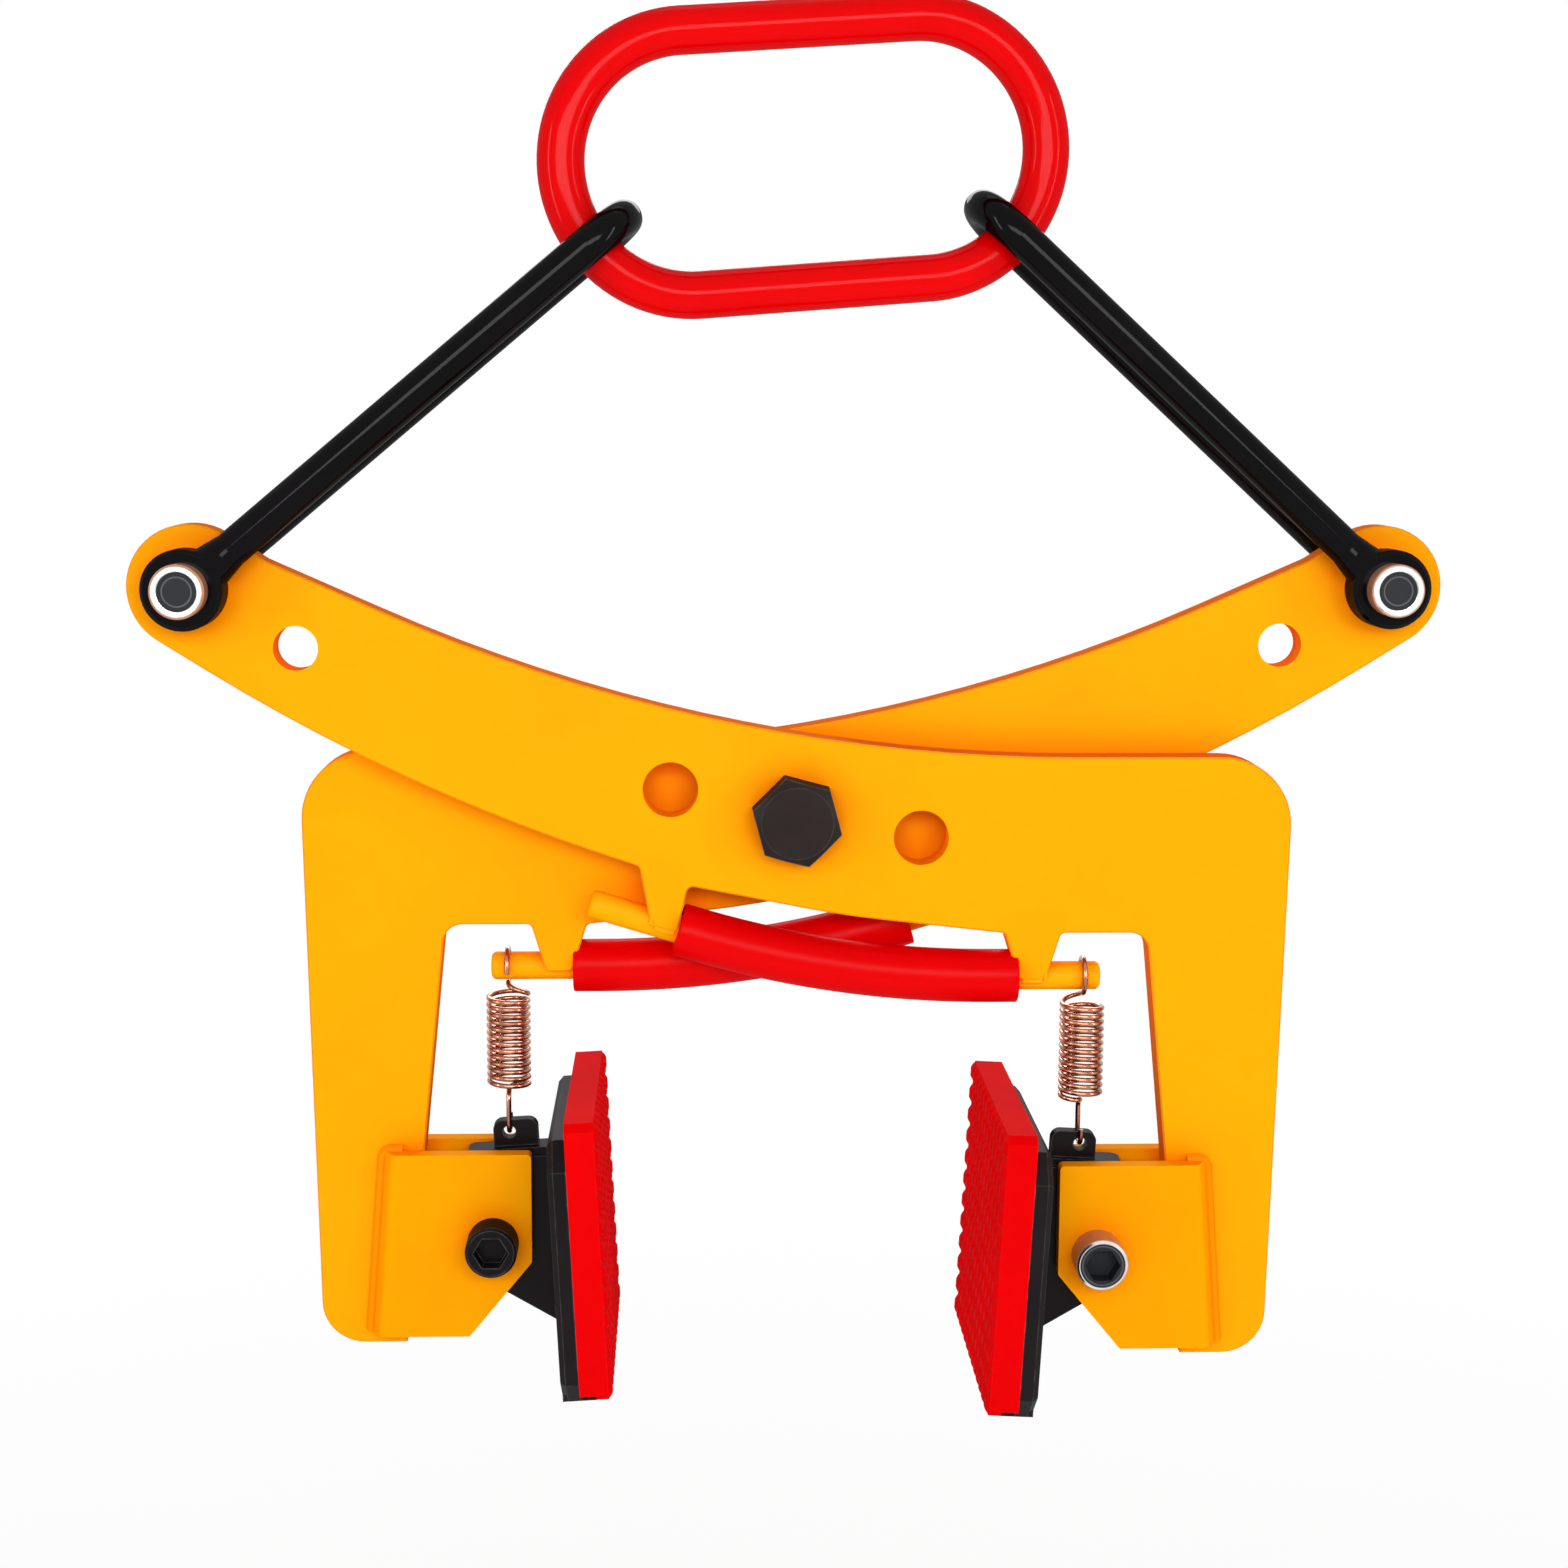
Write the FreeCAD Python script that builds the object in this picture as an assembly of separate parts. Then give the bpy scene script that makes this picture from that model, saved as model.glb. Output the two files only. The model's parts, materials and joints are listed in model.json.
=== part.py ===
import FreeCAD, Part
import math
import os

from FreeCAD import Vector

os.makedirs("parts", exist_ok=True)

# Lifting tongs: two crossed arms hang by two shackles from an oval master link.
# Lengths in millimetres, angles in degrees. +Z is up and the front looks towards -Y.
# The tongs are drawn about their main pivot and moved at the end,
# so that the origin is the seat of the crane hook inside the master link.
# The front arm has the left lever and the right jaw.
# The rear arm is the front arm turned half round about the vertical through the pivot.

# Master link
ring_bar = 21.0
ring_inside_length = 197.8
ring_inside_height = 93.0
ring_tilt = 4.8

# Shackles
link_bar = 16.0
link_length = 251.8
link_play = 3.0
link_eye_diameter = 36.0
link_eye_swell = 1.2
link_eye_edge = 1.5
link_neck_width = 21.0
link_neck_start = 12.0
link_neck_length = 15.0
bow_clearance = 0.8

# Arm plates
plate_thickness = 16.0
plate_gap = 7.4
plate_edge = 0.8
eye_reach = 269.6
eye_rise = 104.0
eye_round = 28.0
neck_inset = 33.0
neck_rise = 12.1
neck_round = 12.0
back_bend_reach = 37.0
back_bend_share = 0.752
shoulder_rise = 28.0
shoulder_round = 32.0
jaw_reach = 227.0
jaw_width = 65.5
toe_inset = 5.8
toe_below_pin = 51.8
toe_round = 20.0
toe_width = 39.2
crotch_round = 9.0
belly_drop = 53.2
belly_bend_share = 0.25
belly_bend_across_share = 0.491
belly_bend_down_share = 0.625
outer_claw_to_spring = 24.3
outer_claw_root = 26.0
inner_claw_reach = 60.0
inner_claw_root = 22.0
inner_claw_heel_drop = 22.0
inner_claw_toe_drop = 31.0
claw_tip = 12.0
claw_cover = 1.2
claw_round = 3.0
lever_bend_reach = 180.7
lever_bend_rise = 15.1
lever_bend_share = 0.85
spare_eye_inset = 46.0
spare_eye_below = 27.0
spare_eye_diameter = 20.0
spare_pivot_reach = 58.0
spare_pivot_slope = 11.0
spare_pivot_lift = 2.2

# Buffer rods and sleeves
rod_diameter = 13.0
rod_slope = 17.0
rod_corner_share = 0.469
rod_bend_share = 0.92
rod_outer_stub = 7.5
rod_inner_stub = 34.0
rod_end_round = 2.5
rod_wall = 0.6
sleeve_headroom = 9.0
sleeve_clearance = 0.3
sleeve_end_gap = 0.4

# Main pivot
pivot_diameter = 25.0
pivot_step = 1.1
pivot_head_flats = 36.0
pivot_head_height = 15.0
pivot_head_turn = 45.0
pivot_nut_height = 21.5
pivot_tail = 4.0
pivot_washer_diameter = 44.0
pivot_washer_thickness = 4.0
thrust_washer_diameter = 56.0

# Screws of the links and pads
screw_diameter = 16.0
screw_head_diameter = 24.0
screw_head_height = 16.0
screw_head_edge = 1.2
screw_socket_flats = 14.0
screw_socket_depth = 8.0
link_head_height = 10.0
link_recess_diameter = 18.0
link_recess_depth = 1.2
screw_nut_flats = 24.0
screw_nut_height = 14.5
screw_tail = 4.0
link_bush_diameter = 23.0
link_spacer_diameter = 34.0

# Clevis cheeks
cheek_thickness = 8.0
cheek_gap = 20.0
cheek_bend_round = 5.0
cheek_nose = 18.0
cheek_seat = 19.2
cheek_flange_lean = 5.6
cheek_outer_spread = 7.0
cheek_above_pin = 42.2
cheek_below_pin = 45.7
cheek_cut_width = 29.5
cheek_cut_height = 36.0
cheek_corner_round = 2.0

# Pads, measured outwards and upwards from the pad pin
pin_from_jaw = 36.6
pad_lean = 3.0
pad_width = 136.0
pad_top_rise = 68.3
pad_toe_hang = 2.5
pad_thickness = 13.2
pad_corner = 3.5
stud_pitch = 10.3
stud_base = 8.0
stud_top = 4.0
stud_height = 1.8

# Pad carriers, measured from the pad pin
carrier_back = 30.5
carrier_thickness = 8.5
carrier_corner = 12.0
carrier_edge = 2.5
carrier_top_gap = 9.5
lip_drop = 58.7
lip_thickness = 6.0
lip_depth = 7.5
lug_boss_radius = 20.4
lug_foot_drop = 47.4
lug_head_reach = 2.0
lug_head_inset = 0.5
pad_bush_diameter = 22.0
tongue_thickness = 3.5
tongue_width = 14.0
tongue_start = 23.0
tongue_reach = 10.0
tongue_round = 4.0
spring_lug_thickness = 6.0
spring_lug_height = 12.5
spring_lug_width = 21.0
spring_lug_round = 4.5
spring_hole_diameter = 6.0
spring_hole_below_top = 5.8
pad_screw_diameter = 8.0
pad_screw_head_diameter = 12.0
pad_screw_head_height = 4.0
pad_screw_grip = 7.0
pad_screw_spread = 92.0
pad_screw_top_rise = 46.0
pad_screw_bottom_drop = 33.0

# Springs
spring_wire = 2.4
spring_diameter = 20.8
spring_pitch = 3.2
spring_inset = 7.0
spring_span = 79.5
spring_neck = 5.3
spring_foot = 2.5
spring_leg = 10.4
spring_hook_radius = 5.0
spring_loop_clearance = 0.5
gap_samples = 6

# Fits and drawing values
hexagon_sides = 6
hexagon_crown_slope = 30.0
hexagon_crown_share = 0.9
running_clearance = 0.05
side_clearance = 0.3
overrun = 1.2
least_length = 0.001
quarter_turn = 90.0
half_turn = 180.0

X_AXIS = Vector(1, 0, 0)
Y_AXIS = Vector(0, 1, 0)
Z_AXIS = Vector(0, 0, 1)
CENTRE = Vector(0, 0, 0)

# Places worked out from the sizes above
arm_mid = (plate_thickness + plate_gap) / 2
plate_face = plate_gap / 2 + plate_thickness
link_radius = (ring_bar + link_play + link_bar) / 2
link_eye_thickness = link_bar + link_eye_swell
link_seat = link_radius + link_eye_thickness / 2
link_inner_seat = link_radius - link_eye_thickness / 2
ring_half_straight = (ring_inside_length - ring_inside_height) / 2
ring_radius = (ring_inside_height + ring_bar) / 2
rod_radius = rod_diameter / 2
rod_mid = plate_face - rod_wall - running_clearance - rod_radius
sleeve_diameter = 2 * (rod_mid - sleeve_clearance)
spring_lug_mid = arm_mid - rod_mid
pivot_thread = pivot_diameter - pivot_step
cheek_face = cheek_gap / 2 + cheek_thickness
carrier_front = carrier_back + carrier_thickness
lug_half_width = cheek_gap / 2 - side_clearance
lug_head_rise = cheek_above_pin - lug_head_inset
lug_top_rise = lug_head_rise + spring_lug_height
pad_toe_drop = lip_drop + pad_toe_hang

# The spring hole before the pad leans, and its height over the pin once it leans
spring_hole_rise = lug_top_rise - spring_hole_below_top
lean_sine = math.sin(math.radians(pad_lean))
lean_cosine = math.cos(math.radians(pad_lean))
spring_hole_reach = -(spring_inset + spring_hole_rise * lean_sine) / lean_cosine
spring_hole_height = spring_hole_rise * lean_cosine - spring_hole_reach * lean_sine

# The jaw's chain of places, from the belly down and from the jaw inwards
rod_drop = belly_drop + sleeve_headroom + sleeve_diameter / 2
hook_drop = rod_drop + spring_span
pin_drop = hook_drop + spring_hole_height
toe_drop = pin_drop + toe_below_pin
toe_reach = jaw_reach - toe_inset
crotch_reach = jaw_reach - jaw_width
cheek_top_drop = pin_drop - cheek_above_pin
cheek_bottom_drop = pin_drop + cheek_below_pin


def jaw_inner_reach(drop):
    """Where the jaw's inner edge lies at a depth below the pivot."""
    share = (drop - belly_drop) / (toe_drop - belly_drop)
    return crotch_reach + share * (toe_reach - toe_width - crotch_reach)


pin_reach = jaw_inner_reach(pin_drop) - pin_from_jaw
cheek_outer_reach = jaw_inner_reach(cheek_top_drop) + cheek_seat
cheek_inner_reach = pin_reach - cheek_nose
spring_reach = pin_reach - spring_inset
outer_claw_reach = spring_reach - outer_claw_to_spring
rod_outer_reach = spring_reach + rod_outer_stub
rod_inner_reach = inner_claw_reach + rod_inner_stub
rod_corner_reach = rod_corner_share * (inner_claw_reach + outer_claw_reach) - inner_claw_reach
sleeve_from = -inner_claw_reach + claw_tip / 2 + sleeve_end_gap
sleeve_to = outer_claw_reach - claw_tip / 2 - sleeve_end_gap


def hanging_place():
    """The master link's centre and turn and the shackles' slopes, from the lengths that hang."""
    hang = link_length + ring_radius - ring_bar / 2 - link_bar / 2 - bow_clearance
    tilt = math.radians(ring_tilt)
    rise = ring_half_straight * math.sin(tilt)

    def height_over_eye(end_reach):
        across = eye_reach - end_reach
        return across * math.sqrt((hang**2 - across**2 - rise**2) / (across**2 + rise**2))

    first_slope = math.atan2(height_over_eye(ring_half_straight), eye_reach - ring_half_straight)
    turn = math.asin(arm_mid / (ring_half_straight + ring_radius * math.cos(first_slope)))
    end_reach = ring_half_straight * math.cos(tilt) * math.cos(turn)
    height = height_over_eye(end_reach)
    across = eye_reach - end_reach
    shift = rise * height / across
    left_slope = math.degrees(math.atan2(height - rise, across + shift))
    right_slope = math.degrees(math.atan2(height + rise, across - shift))
    return Vector(shift, 0, eye_rise + height), math.degrees(turn), left_slope, right_slope


ring_centre, ring_turn, left_link_slope, right_link_slope = hanging_place()


def hang_ring(shape):
    """Tilts and turns an upright piece of the master link into place."""
    shape.rotate(CENTRE, Y_AXIS, -ring_tilt)
    shape.rotate(CENTRE, Z_AXIS, ring_turn)
    shape.translate(ring_centre)
    return shape


def hung_point(reach, rise):
    """A point of the upright master link where it hangs."""
    return hang_ring(Part.Vertex(reach, 0, rise)).Point


hook_seat = hung_point(0, ring_inside_height / 2)


def save(name, shape):
    """Writes one node, with the hook seat as its origin."""
    moved = shape.copy()
    moved.translate(-hook_seat)
    moved.exportStep("parts/" + name + ".step")


def rear_twin(shape):
    """A front piece turned half round about the pivot's vertical."""
    twin = shape.copy()
    twin.rotate(CENTRE, Z_AXIS, half_turn)
    return twin


def bar_along_y(diameter, x, z, y_from, y_to):
    """A round bar across the tongs."""
    return Part.makeCylinder(diameter / 2, y_to - y_from, Vector(x, y_from, z), Y_AXIS)


def tube_along_y(outer, inner, x, z, y_from, y_to):
    """A bush or washer across the tongs."""
    hole = bar_along_y(inner, x, z, y_from - overrun, y_to + overrun)
    return bar_along_y(outer, x, z, y_from, y_to).cut(hole)


def hex_along_y(flats, turn, x, z, y_from, y_to):
    """A hexagonal bar across the tongs, its first corner turned up from +X."""
    corner = flats / 2 / math.cos(math.pi / hexagon_sides)
    points = []
    for step in range(hexagon_sides + 1):
        angle = math.radians(turn + step * 2 * half_turn / hexagon_sides)
        points.append(Vector(x + corner * math.cos(angle), y_from, z + corner * math.sin(angle)))
    return Part.Face(Part.makePolygon(points)).extrude(Vector(0, y_to - y_from, 0))


def hex_crown(flats, x, z, y_seat, height, towards):
    """The cone that takes the corners off a hexagon's outer face."""
    tip = hexagon_crown_share * flats / 2
    base = tip + height / math.tan(math.radians(hexagon_crown_slope))
    return Part.makeCone(base, tip, height, Vector(x, y_seat, z), Y_AXIS * towards)


def corner_arc(before, corner, after, radius):
    """Start, middle and end of the arc that rounds one corner."""
    back = (before - corner).normalize()
    ahead = (after - corner).normalize()
    half_angle = back.getAngle(ahead) / 2
    reach = radius / math.tan(half_angle)
    centre = corner + (back + ahead).normalize() * (radius / math.sin(half_angle))
    middle = centre + (corner - centre).normalize() * radius
    return corner + back * reach, middle, corner + ahead * reach


def bend_radius(before, corner, after, share):
    """The radius of a bend that takes up a share of the shorter run beside its corner."""
    back = before - corner
    ahead = after - corner
    return share * min(back.Length, ahead.Length) * math.tan(back.getAngle(ahead) / 2)


def rounded_face(corners):
    """A face inside corners given as (point, radius), where a radius of 0 is sharp."""
    count = len(corners)
    runs = []
    for index, (point, radius) in enumerate(corners):
        if radius > 0:
            after = corners[(index + 1) % count][0]
            runs.append(corner_arc(corners[index - 1][0], point, after, radius))
        else:
            runs.append((point, point, point))
    edges = []
    for index, (start, middle, end) in enumerate(runs):
        if (end - start).Length > least_length:
            edges.append(Part.Arc(start, middle, end).toShape())
        ahead = runs[(index + 1) % count][0]
        if (ahead - end).Length > least_length:
            edges.append(Part.makeLine(end, ahead))
    return Part.Face(Part.Wire(edges))


def slab_along_y(corners, y_from, y_to):
    """A plate across the tongs with corners (x, z, radius)."""
    points = [(Vector(x, y_from, z), radius) for x, z, radius in corners]
    return rounded_face(points).extrude(Vector(0, y_to - y_from, 0))


def slab_along_x(corners, x_from, x_to):
    """An upright plate facing sideways with corners (y, z, radius)."""
    points = [(Vector(x_from, y, z), radius) for y, z, radius in corners]
    return rounded_face(points).extrude(Vector(x_to - x_from, 0, 0))


def slab_along_z(corners, z_from, z_to):
    """A flat plate with corners (x, y, radius)."""
    points = [(Vector(x, y, z_from), radius) for x, y, radius in corners]
    return rounded_face(points).extrude(Vector(0, 0, z_to - z_from))


def cut_corners(y_half, z_low, z_high, corner):
    """An outline (y, z) with its four corners cut off."""
    return [
        (-y_half, z_low + corner, 0),
        (-y_half, z_high - corner, 0),
        (-y_half + corner, z_high, 0),
        (y_half - corner, z_high, 0),
        (y_half, z_high - corner, 0),
        (y_half, z_low + corner, 0),
        (y_half - corner, z_low, 0),
        (-y_half + corner, z_low, 0),
    ]


def round_sweep(path, diameter):
    """A round bar along a wire."""
    first = path.OrderedEdges[0]
    start = first.valueAt(first.FirstParameter)
    along = first.tangentAt(first.FirstParameter)
    section = Part.Wire(Part.makeCircle(diameter / 2, start, along))
    return path.makePipeShell([section], True, False)


# Master link
def master_link():
    half = ring_half_straight
    low = Vector(-half, 0, -ring_radius)
    high = Vector(half, 0, ring_radius)
    edges = [
        Part.makeLine(low, Vector(half, 0, -ring_radius)),
        Part.Arc(Vector(half, 0, -ring_radius), Vector(half + ring_radius, 0, 0), high).toShape(),
        Part.makeLine(high, Vector(-half, 0, ring_radius)),
        Part.Arc(Vector(-half, 0, ring_radius), Vector(-half - ring_radius, 0, 0), low).toShape(),
    ]
    section = Part.Wire(Part.makeCircle(ring_bar / 2, low, X_AXIS))
    return hang_ring(Part.Wire(edges).makePipeShell([section], True, False))


# Shackles
def shackle(slope):
    """A shackle from the front arm's eye, drawn along +X and then sloped up."""
    straight = link_length - link_radius
    bow = Part.Arc(Vector(straight, -link_radius, 0), Vector(link_length, 0, 0), Vector(straight, link_radius, 0))
    path = Part.Wire(
        [
            Part.makeLine(Vector(0, -link_radius, 0), Vector(straight, -link_radius, 0)),
            bow.toShape(),
            Part.makeLine(Vector(straight, link_radius, 0), Vector(0, link_radius, 0)),
        ]
    )
    body = round_sweep(path, link_bar)
    bores = []
    for side in (-1, 1):
        inner = side * link_radius - link_eye_thickness / 2
        outer = inner + link_eye_thickness
        body = body.fuse(link_neck(side * link_radius))
        eye = bar_along_y(link_eye_diameter, 0, 0, inner, outer)
        body = body.fuse(eye.makeChamfer(link_eye_edge, [edge for edge in eye.Edges if edge.Closed]))
        hole = screw_diameter + 2 * running_clearance
        bores.append(bar_along_y(hole, 0, 0, inner - overrun, outer + overrun))
    body = body.removeSplitter().cut(Part.makeCompound(bores))
    body.rotate(CENTRE, Y_AXIS, -slope)
    body.translate(Vector(-eye_reach, -arm_mid, eye_rise))
    return body


def link_neck(mid):
    """The forged swell where a leg runs into its eye."""
    base = Vector(link_neck_start, mid, 0)
    swell = Part.makeCone(link_neck_width / 2, link_bar / 2, link_neck_length, base, X_AXIS)
    corner = Vector(link_neck_start, mid - link_eye_thickness / 2, -link_neck_width)
    return swell.common(Part.makeBox(link_neck_length, link_eye_thickness, 2 * link_neck_width, corner))


# Screws and nuts
def headed_bar(x, z, seat, far_seat, head_height):
    """A round headed bar from a front seat to past the nut on its far seat."""
    head = bar_along_y(screw_head_diameter, x, z, seat - head_height, seat)
    rim = [edge for edge in head.Edges if edge.Closed and edge.BoundBox.YMax < seat - screw_head_edge]
    head = head.makeChamfer(screw_head_edge, rim)
    return head.fuse(bar_along_y(screw_diameter, x, z, seat, far_seat + screw_nut_height + screw_tail))


def socket_screw(x, z, seat, far_seat):
    """A pad screw, with a hexagon socket in its head."""
    top = seat - screw_head_height
    socket = hex_along_y(screw_socket_flats, 0, x, z, top - overrun, top + screw_socket_depth)
    return headed_bar(x, z, seat, far_seat, screw_head_height).cut(socket)


def link_pin(x, z, seat, far_seat):
    """A link pin, with a shallow round recess in its head."""
    top = seat - link_head_height
    recess = bar_along_y(link_recess_diameter, x, z, top - overrun, top + link_recess_depth)
    return headed_bar(x, z, seat, far_seat, link_head_height).cut(recess)


def screw_nut(x, z, seat):
    body = hex_along_y(screw_nut_flats, 0, x, z, seat, seat + screw_nut_height)
    body = body.common(hex_crown(screw_nut_flats, x, z, seat, screw_nut_height, 1))
    hole = screw_diameter + 2 * running_clearance
    return body.cut(bar_along_y(hole, x, z, seat - overrun, seat + screw_nut_height + overrun))


# Arm plates
def rod_height(x):
    """Height of the rod's sloped run at a place along X."""
    return -rod_drop + (rod_corner_reach - x) * math.tan(math.radians(rod_slope))


def rod_path(x_from, x_to):
    """The rod's middle line: a sloped run, a wide bend and a level run."""
    start = Vector(x_from, -rod_mid, rod_height(x_from))
    corner = Vector(rod_corner_reach, -rod_mid, -rod_drop)
    end = Vector(x_to, -rod_mid, -rod_drop)
    sleeve_start = Vector(sleeve_from, -rod_mid, rod_height(sleeve_from))
    sleeve_end = Vector(sleeve_to, -rod_mid, -rod_drop)
    radius = bend_radius(sleeve_start, corner, sleeve_end, rod_bend_share)
    bend_start, bend_middle, bend_end = corner_arc(start, corner, end, radius)
    return Part.Wire(
        [
            Part.makeLine(start, bend_start),
            Part.Arc(bend_start, bend_middle, bend_end).toShape(),
            Part.makeLine(bend_end, end),
        ]
    )


def eye_end_corners(top, bottom):
    """Two corners whose rounds make the lever's end, between lines from two outside points."""
    def touch_angle(x, z, way):
        base = math.atan2(z - eye_rise, x + eye_reach)
        return base + way * math.acos(eye_round / math.hypot(x + eye_reach, z - eye_rise))

    upper = touch_angle(top[0], top[1], 1)
    lower = touch_angle(bottom[0], bottom[1], -1) + math.radians(2 * half_turn)
    cap = (upper + lower) / 2
    corners = []
    for angle in ((cap + lower) / 2, (upper + cap) / 2):
        reach = eye_round / math.cos((lower - upper) / 4)
        corners.append((-eye_reach + reach * math.cos(angle), eye_rise + reach * math.sin(angle), eye_round))
    return corners


def arm_outline():
    """Corners (x, z, radius) of the front arm, clockwise from the neck beside the lever's end."""
    neck = (-eye_reach + neck_inset, eye_rise + neck_rise)
    back = (-back_bend_reach, shoulder_rise)
    shoulder = (jaw_reach, shoulder_rise)
    lever = (-lever_bend_reach, lever_bend_rise)
    outer_tip = -rod_drop - claw_cover
    slope_drop = claw_cover / math.cos(math.radians(rod_slope))
    inner_left = -inner_claw_reach - claw_tip / 2
    inner_right = -inner_claw_reach + claw_tip / 2
    outer_root = (outer_claw_reach - outer_claw_root / 2, -belly_drop)
    inner_root = (-inner_claw_reach + inner_claw_root / 2, -inner_claw_toe_drop)
    inner_heel = (-inner_claw_reach - inner_claw_root / 2, -inner_claw_heel_drop)
    belly = (
        inner_root[0] + belly_bend_across_share * (outer_root[0] - inner_root[0]),
        inner_root[1] + belly_bend_down_share * (outer_root[1] - inner_root[1]),
    )
    eye_foot, eye_head = eye_end_corners(neck, lever)

    def bend(before, corner, after, share):
        places = [Vector(place[0], 0, place[1]) for place in (before, corner, after)]
        return corner + (bend_radius(*places, share),)

    return [
        neck + (neck_round,),
        bend(neck, back, shoulder, back_bend_share),
        shoulder + (shoulder_round,),
        (toe_reach, -toe_drop, toe_round),
        (toe_reach - toe_width, -toe_drop, 0),
        (crotch_reach, -belly_drop, crotch_round),
        (outer_claw_reach + outer_claw_root / 2, -belly_drop, claw_round),
        (outer_claw_reach + claw_tip / 2, outer_tip, claw_round),
        (outer_claw_reach - claw_tip / 2, outer_tip, claw_round),
        outer_root + (claw_round,),
        bend(outer_root, belly, inner_root, belly_bend_share),
        inner_root + (claw_round,),
        (inner_right, rod_height(inner_right) - slope_drop, claw_round),
        (inner_left, rod_height(inner_left) - slope_drop, claw_round),
        inner_heel + (claw_round,),
        bend(inner_heel, lever, eye_foot, lever_bend_share),
        eye_foot,
        eye_head,
    ]


def arm_plate(spare_pivots):
    """The front arm's plate, with or without the spare pivot holes."""
    y_from = -plate_face
    y_to = -plate_gap / 2
    plate = slab_along_y(arm_outline(), y_from, y_to)
    face_edges = [edge for face in plate.Faces if abs(face.normalAt(0, 0).y) > 1 / 2 for edge in face.Edges]
    plate = plate.makeChamfer(plate_edge, face_edges)
    pivot_hole = pivot_diameter + 2 * running_clearance
    holes = [(0, 0, pivot_hole), (spare_eye_inset - eye_reach, eye_rise - spare_eye_below, spare_eye_diameter)]
    holes.append((-eye_reach, eye_rise, link_bush_diameter + 2 * running_clearance))
    if spare_pivots:
        across = spare_pivot_reach * math.cos(math.radians(spare_pivot_slope))
        up = spare_pivot_reach * math.sin(math.radians(spare_pivot_slope))
        holes.append((-across, spare_pivot_lift + up, pivot_hole))
        holes.append((across, spare_pivot_lift - up, pivot_hole))
    cuts = [bar_along_y(size, x, z, y_from - overrun, y_to + overrun) for x, z, size in holes]
    cuts.append(round_sweep(rod_path(-rod_inner_reach, rod_outer_reach), rod_diameter + 2 * running_clearance))
    return plate.cut(Part.makeCompound(cuts))


def link_bush():
    """The bush in the front arm's eye, as long as the shackle's gap."""
    inner = screw_diameter + 2 * running_clearance
    y_from = -arm_mid - link_inner_seat
    y_to = -arm_mid + link_inner_seat
    return tube_along_y(link_bush_diameter, inner, -eye_reach, eye_rise, y_from, y_to)


def link_spacers():
    """The two rings that keep the shackle's eyes off the front arm's plate."""
    inner = link_bush_diameter + 2 * running_clearance
    rings = []
    for y_from, y_to in (
        (-arm_mid - link_inner_seat, -plate_face),
        (-plate_gap / 2, -arm_mid + link_inner_seat),
    ):
        rings.append(tube_along_y(link_spacer_diameter, inner, -eye_reach, eye_rise, y_from, y_to))
    return Part.makeCompound(rings)


# Buffer rods and sleeves
def buffer_rod():
    rod = round_sweep(rod_path(-rod_inner_reach, rod_outer_reach), rod_diameter)
    ends = [face for face in rod.Faces if face.Surface.TypeId == "Part::GeomPlane"]
    return rod.makeFillet(rod_end_round, [edge for face in ends for edge in face.Edges])


def buffer_sleeve():
    """The hose on the rod, its ends notched by the claws that they press on."""
    outer = round_sweep(rod_path(sleeve_from, sleeve_to), sleeve_diameter)
    bore = round_sweep(rod_path(-rod_inner_reach, rod_outer_reach), rod_diameter + 2 * running_clearance)
    claws = slab_along_y(arm_outline(), -plate_face, -plate_gap / 2)
    return outer.cut(bore).cut(claws)


# Main pivot
def pivot_bolt():
    top = -plate_face - pivot_head_height
    head = hex_along_y(pivot_head_flats, pivot_head_turn, 0, 0, top, -plate_face)
    head = head.common(hex_crown(pivot_head_flats, 0, 0, -plate_face, pivot_head_height, -1))
    shank = bar_along_y(pivot_diameter, 0, 0, -plate_face, plate_face)
    end = plate_face + pivot_washer_thickness + pivot_nut_height + pivot_tail
    return head.fuse([shank, bar_along_y(pivot_thread, 0, 0, plate_face, end)])


def pivot_nut():
    seat = plate_face + pivot_washer_thickness
    end = seat + pivot_nut_height
    body = hex_along_y(pivot_head_flats, 0, 0, 0, seat, end)
    body = body.common(hex_crown(pivot_head_flats, 0, 0, seat, pivot_nut_height, 1))
    return body.cut(bar_along_y(pivot_thread + 2 * running_clearance, 0, 0, seat - overrun, end + overrun))


def pivot_washer():
    inner = pivot_thread + 2 * running_clearance
    return tube_along_y(pivot_washer_diameter, inner, 0, 0, plate_face, plate_face + pivot_washer_thickness)


def thrust_washer():
    inner = pivot_diameter + 2 * running_clearance
    return tube_along_y(thrust_washer_diameter, inner, 0, 0, -plate_gap / 2, plate_gap / 2)


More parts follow.
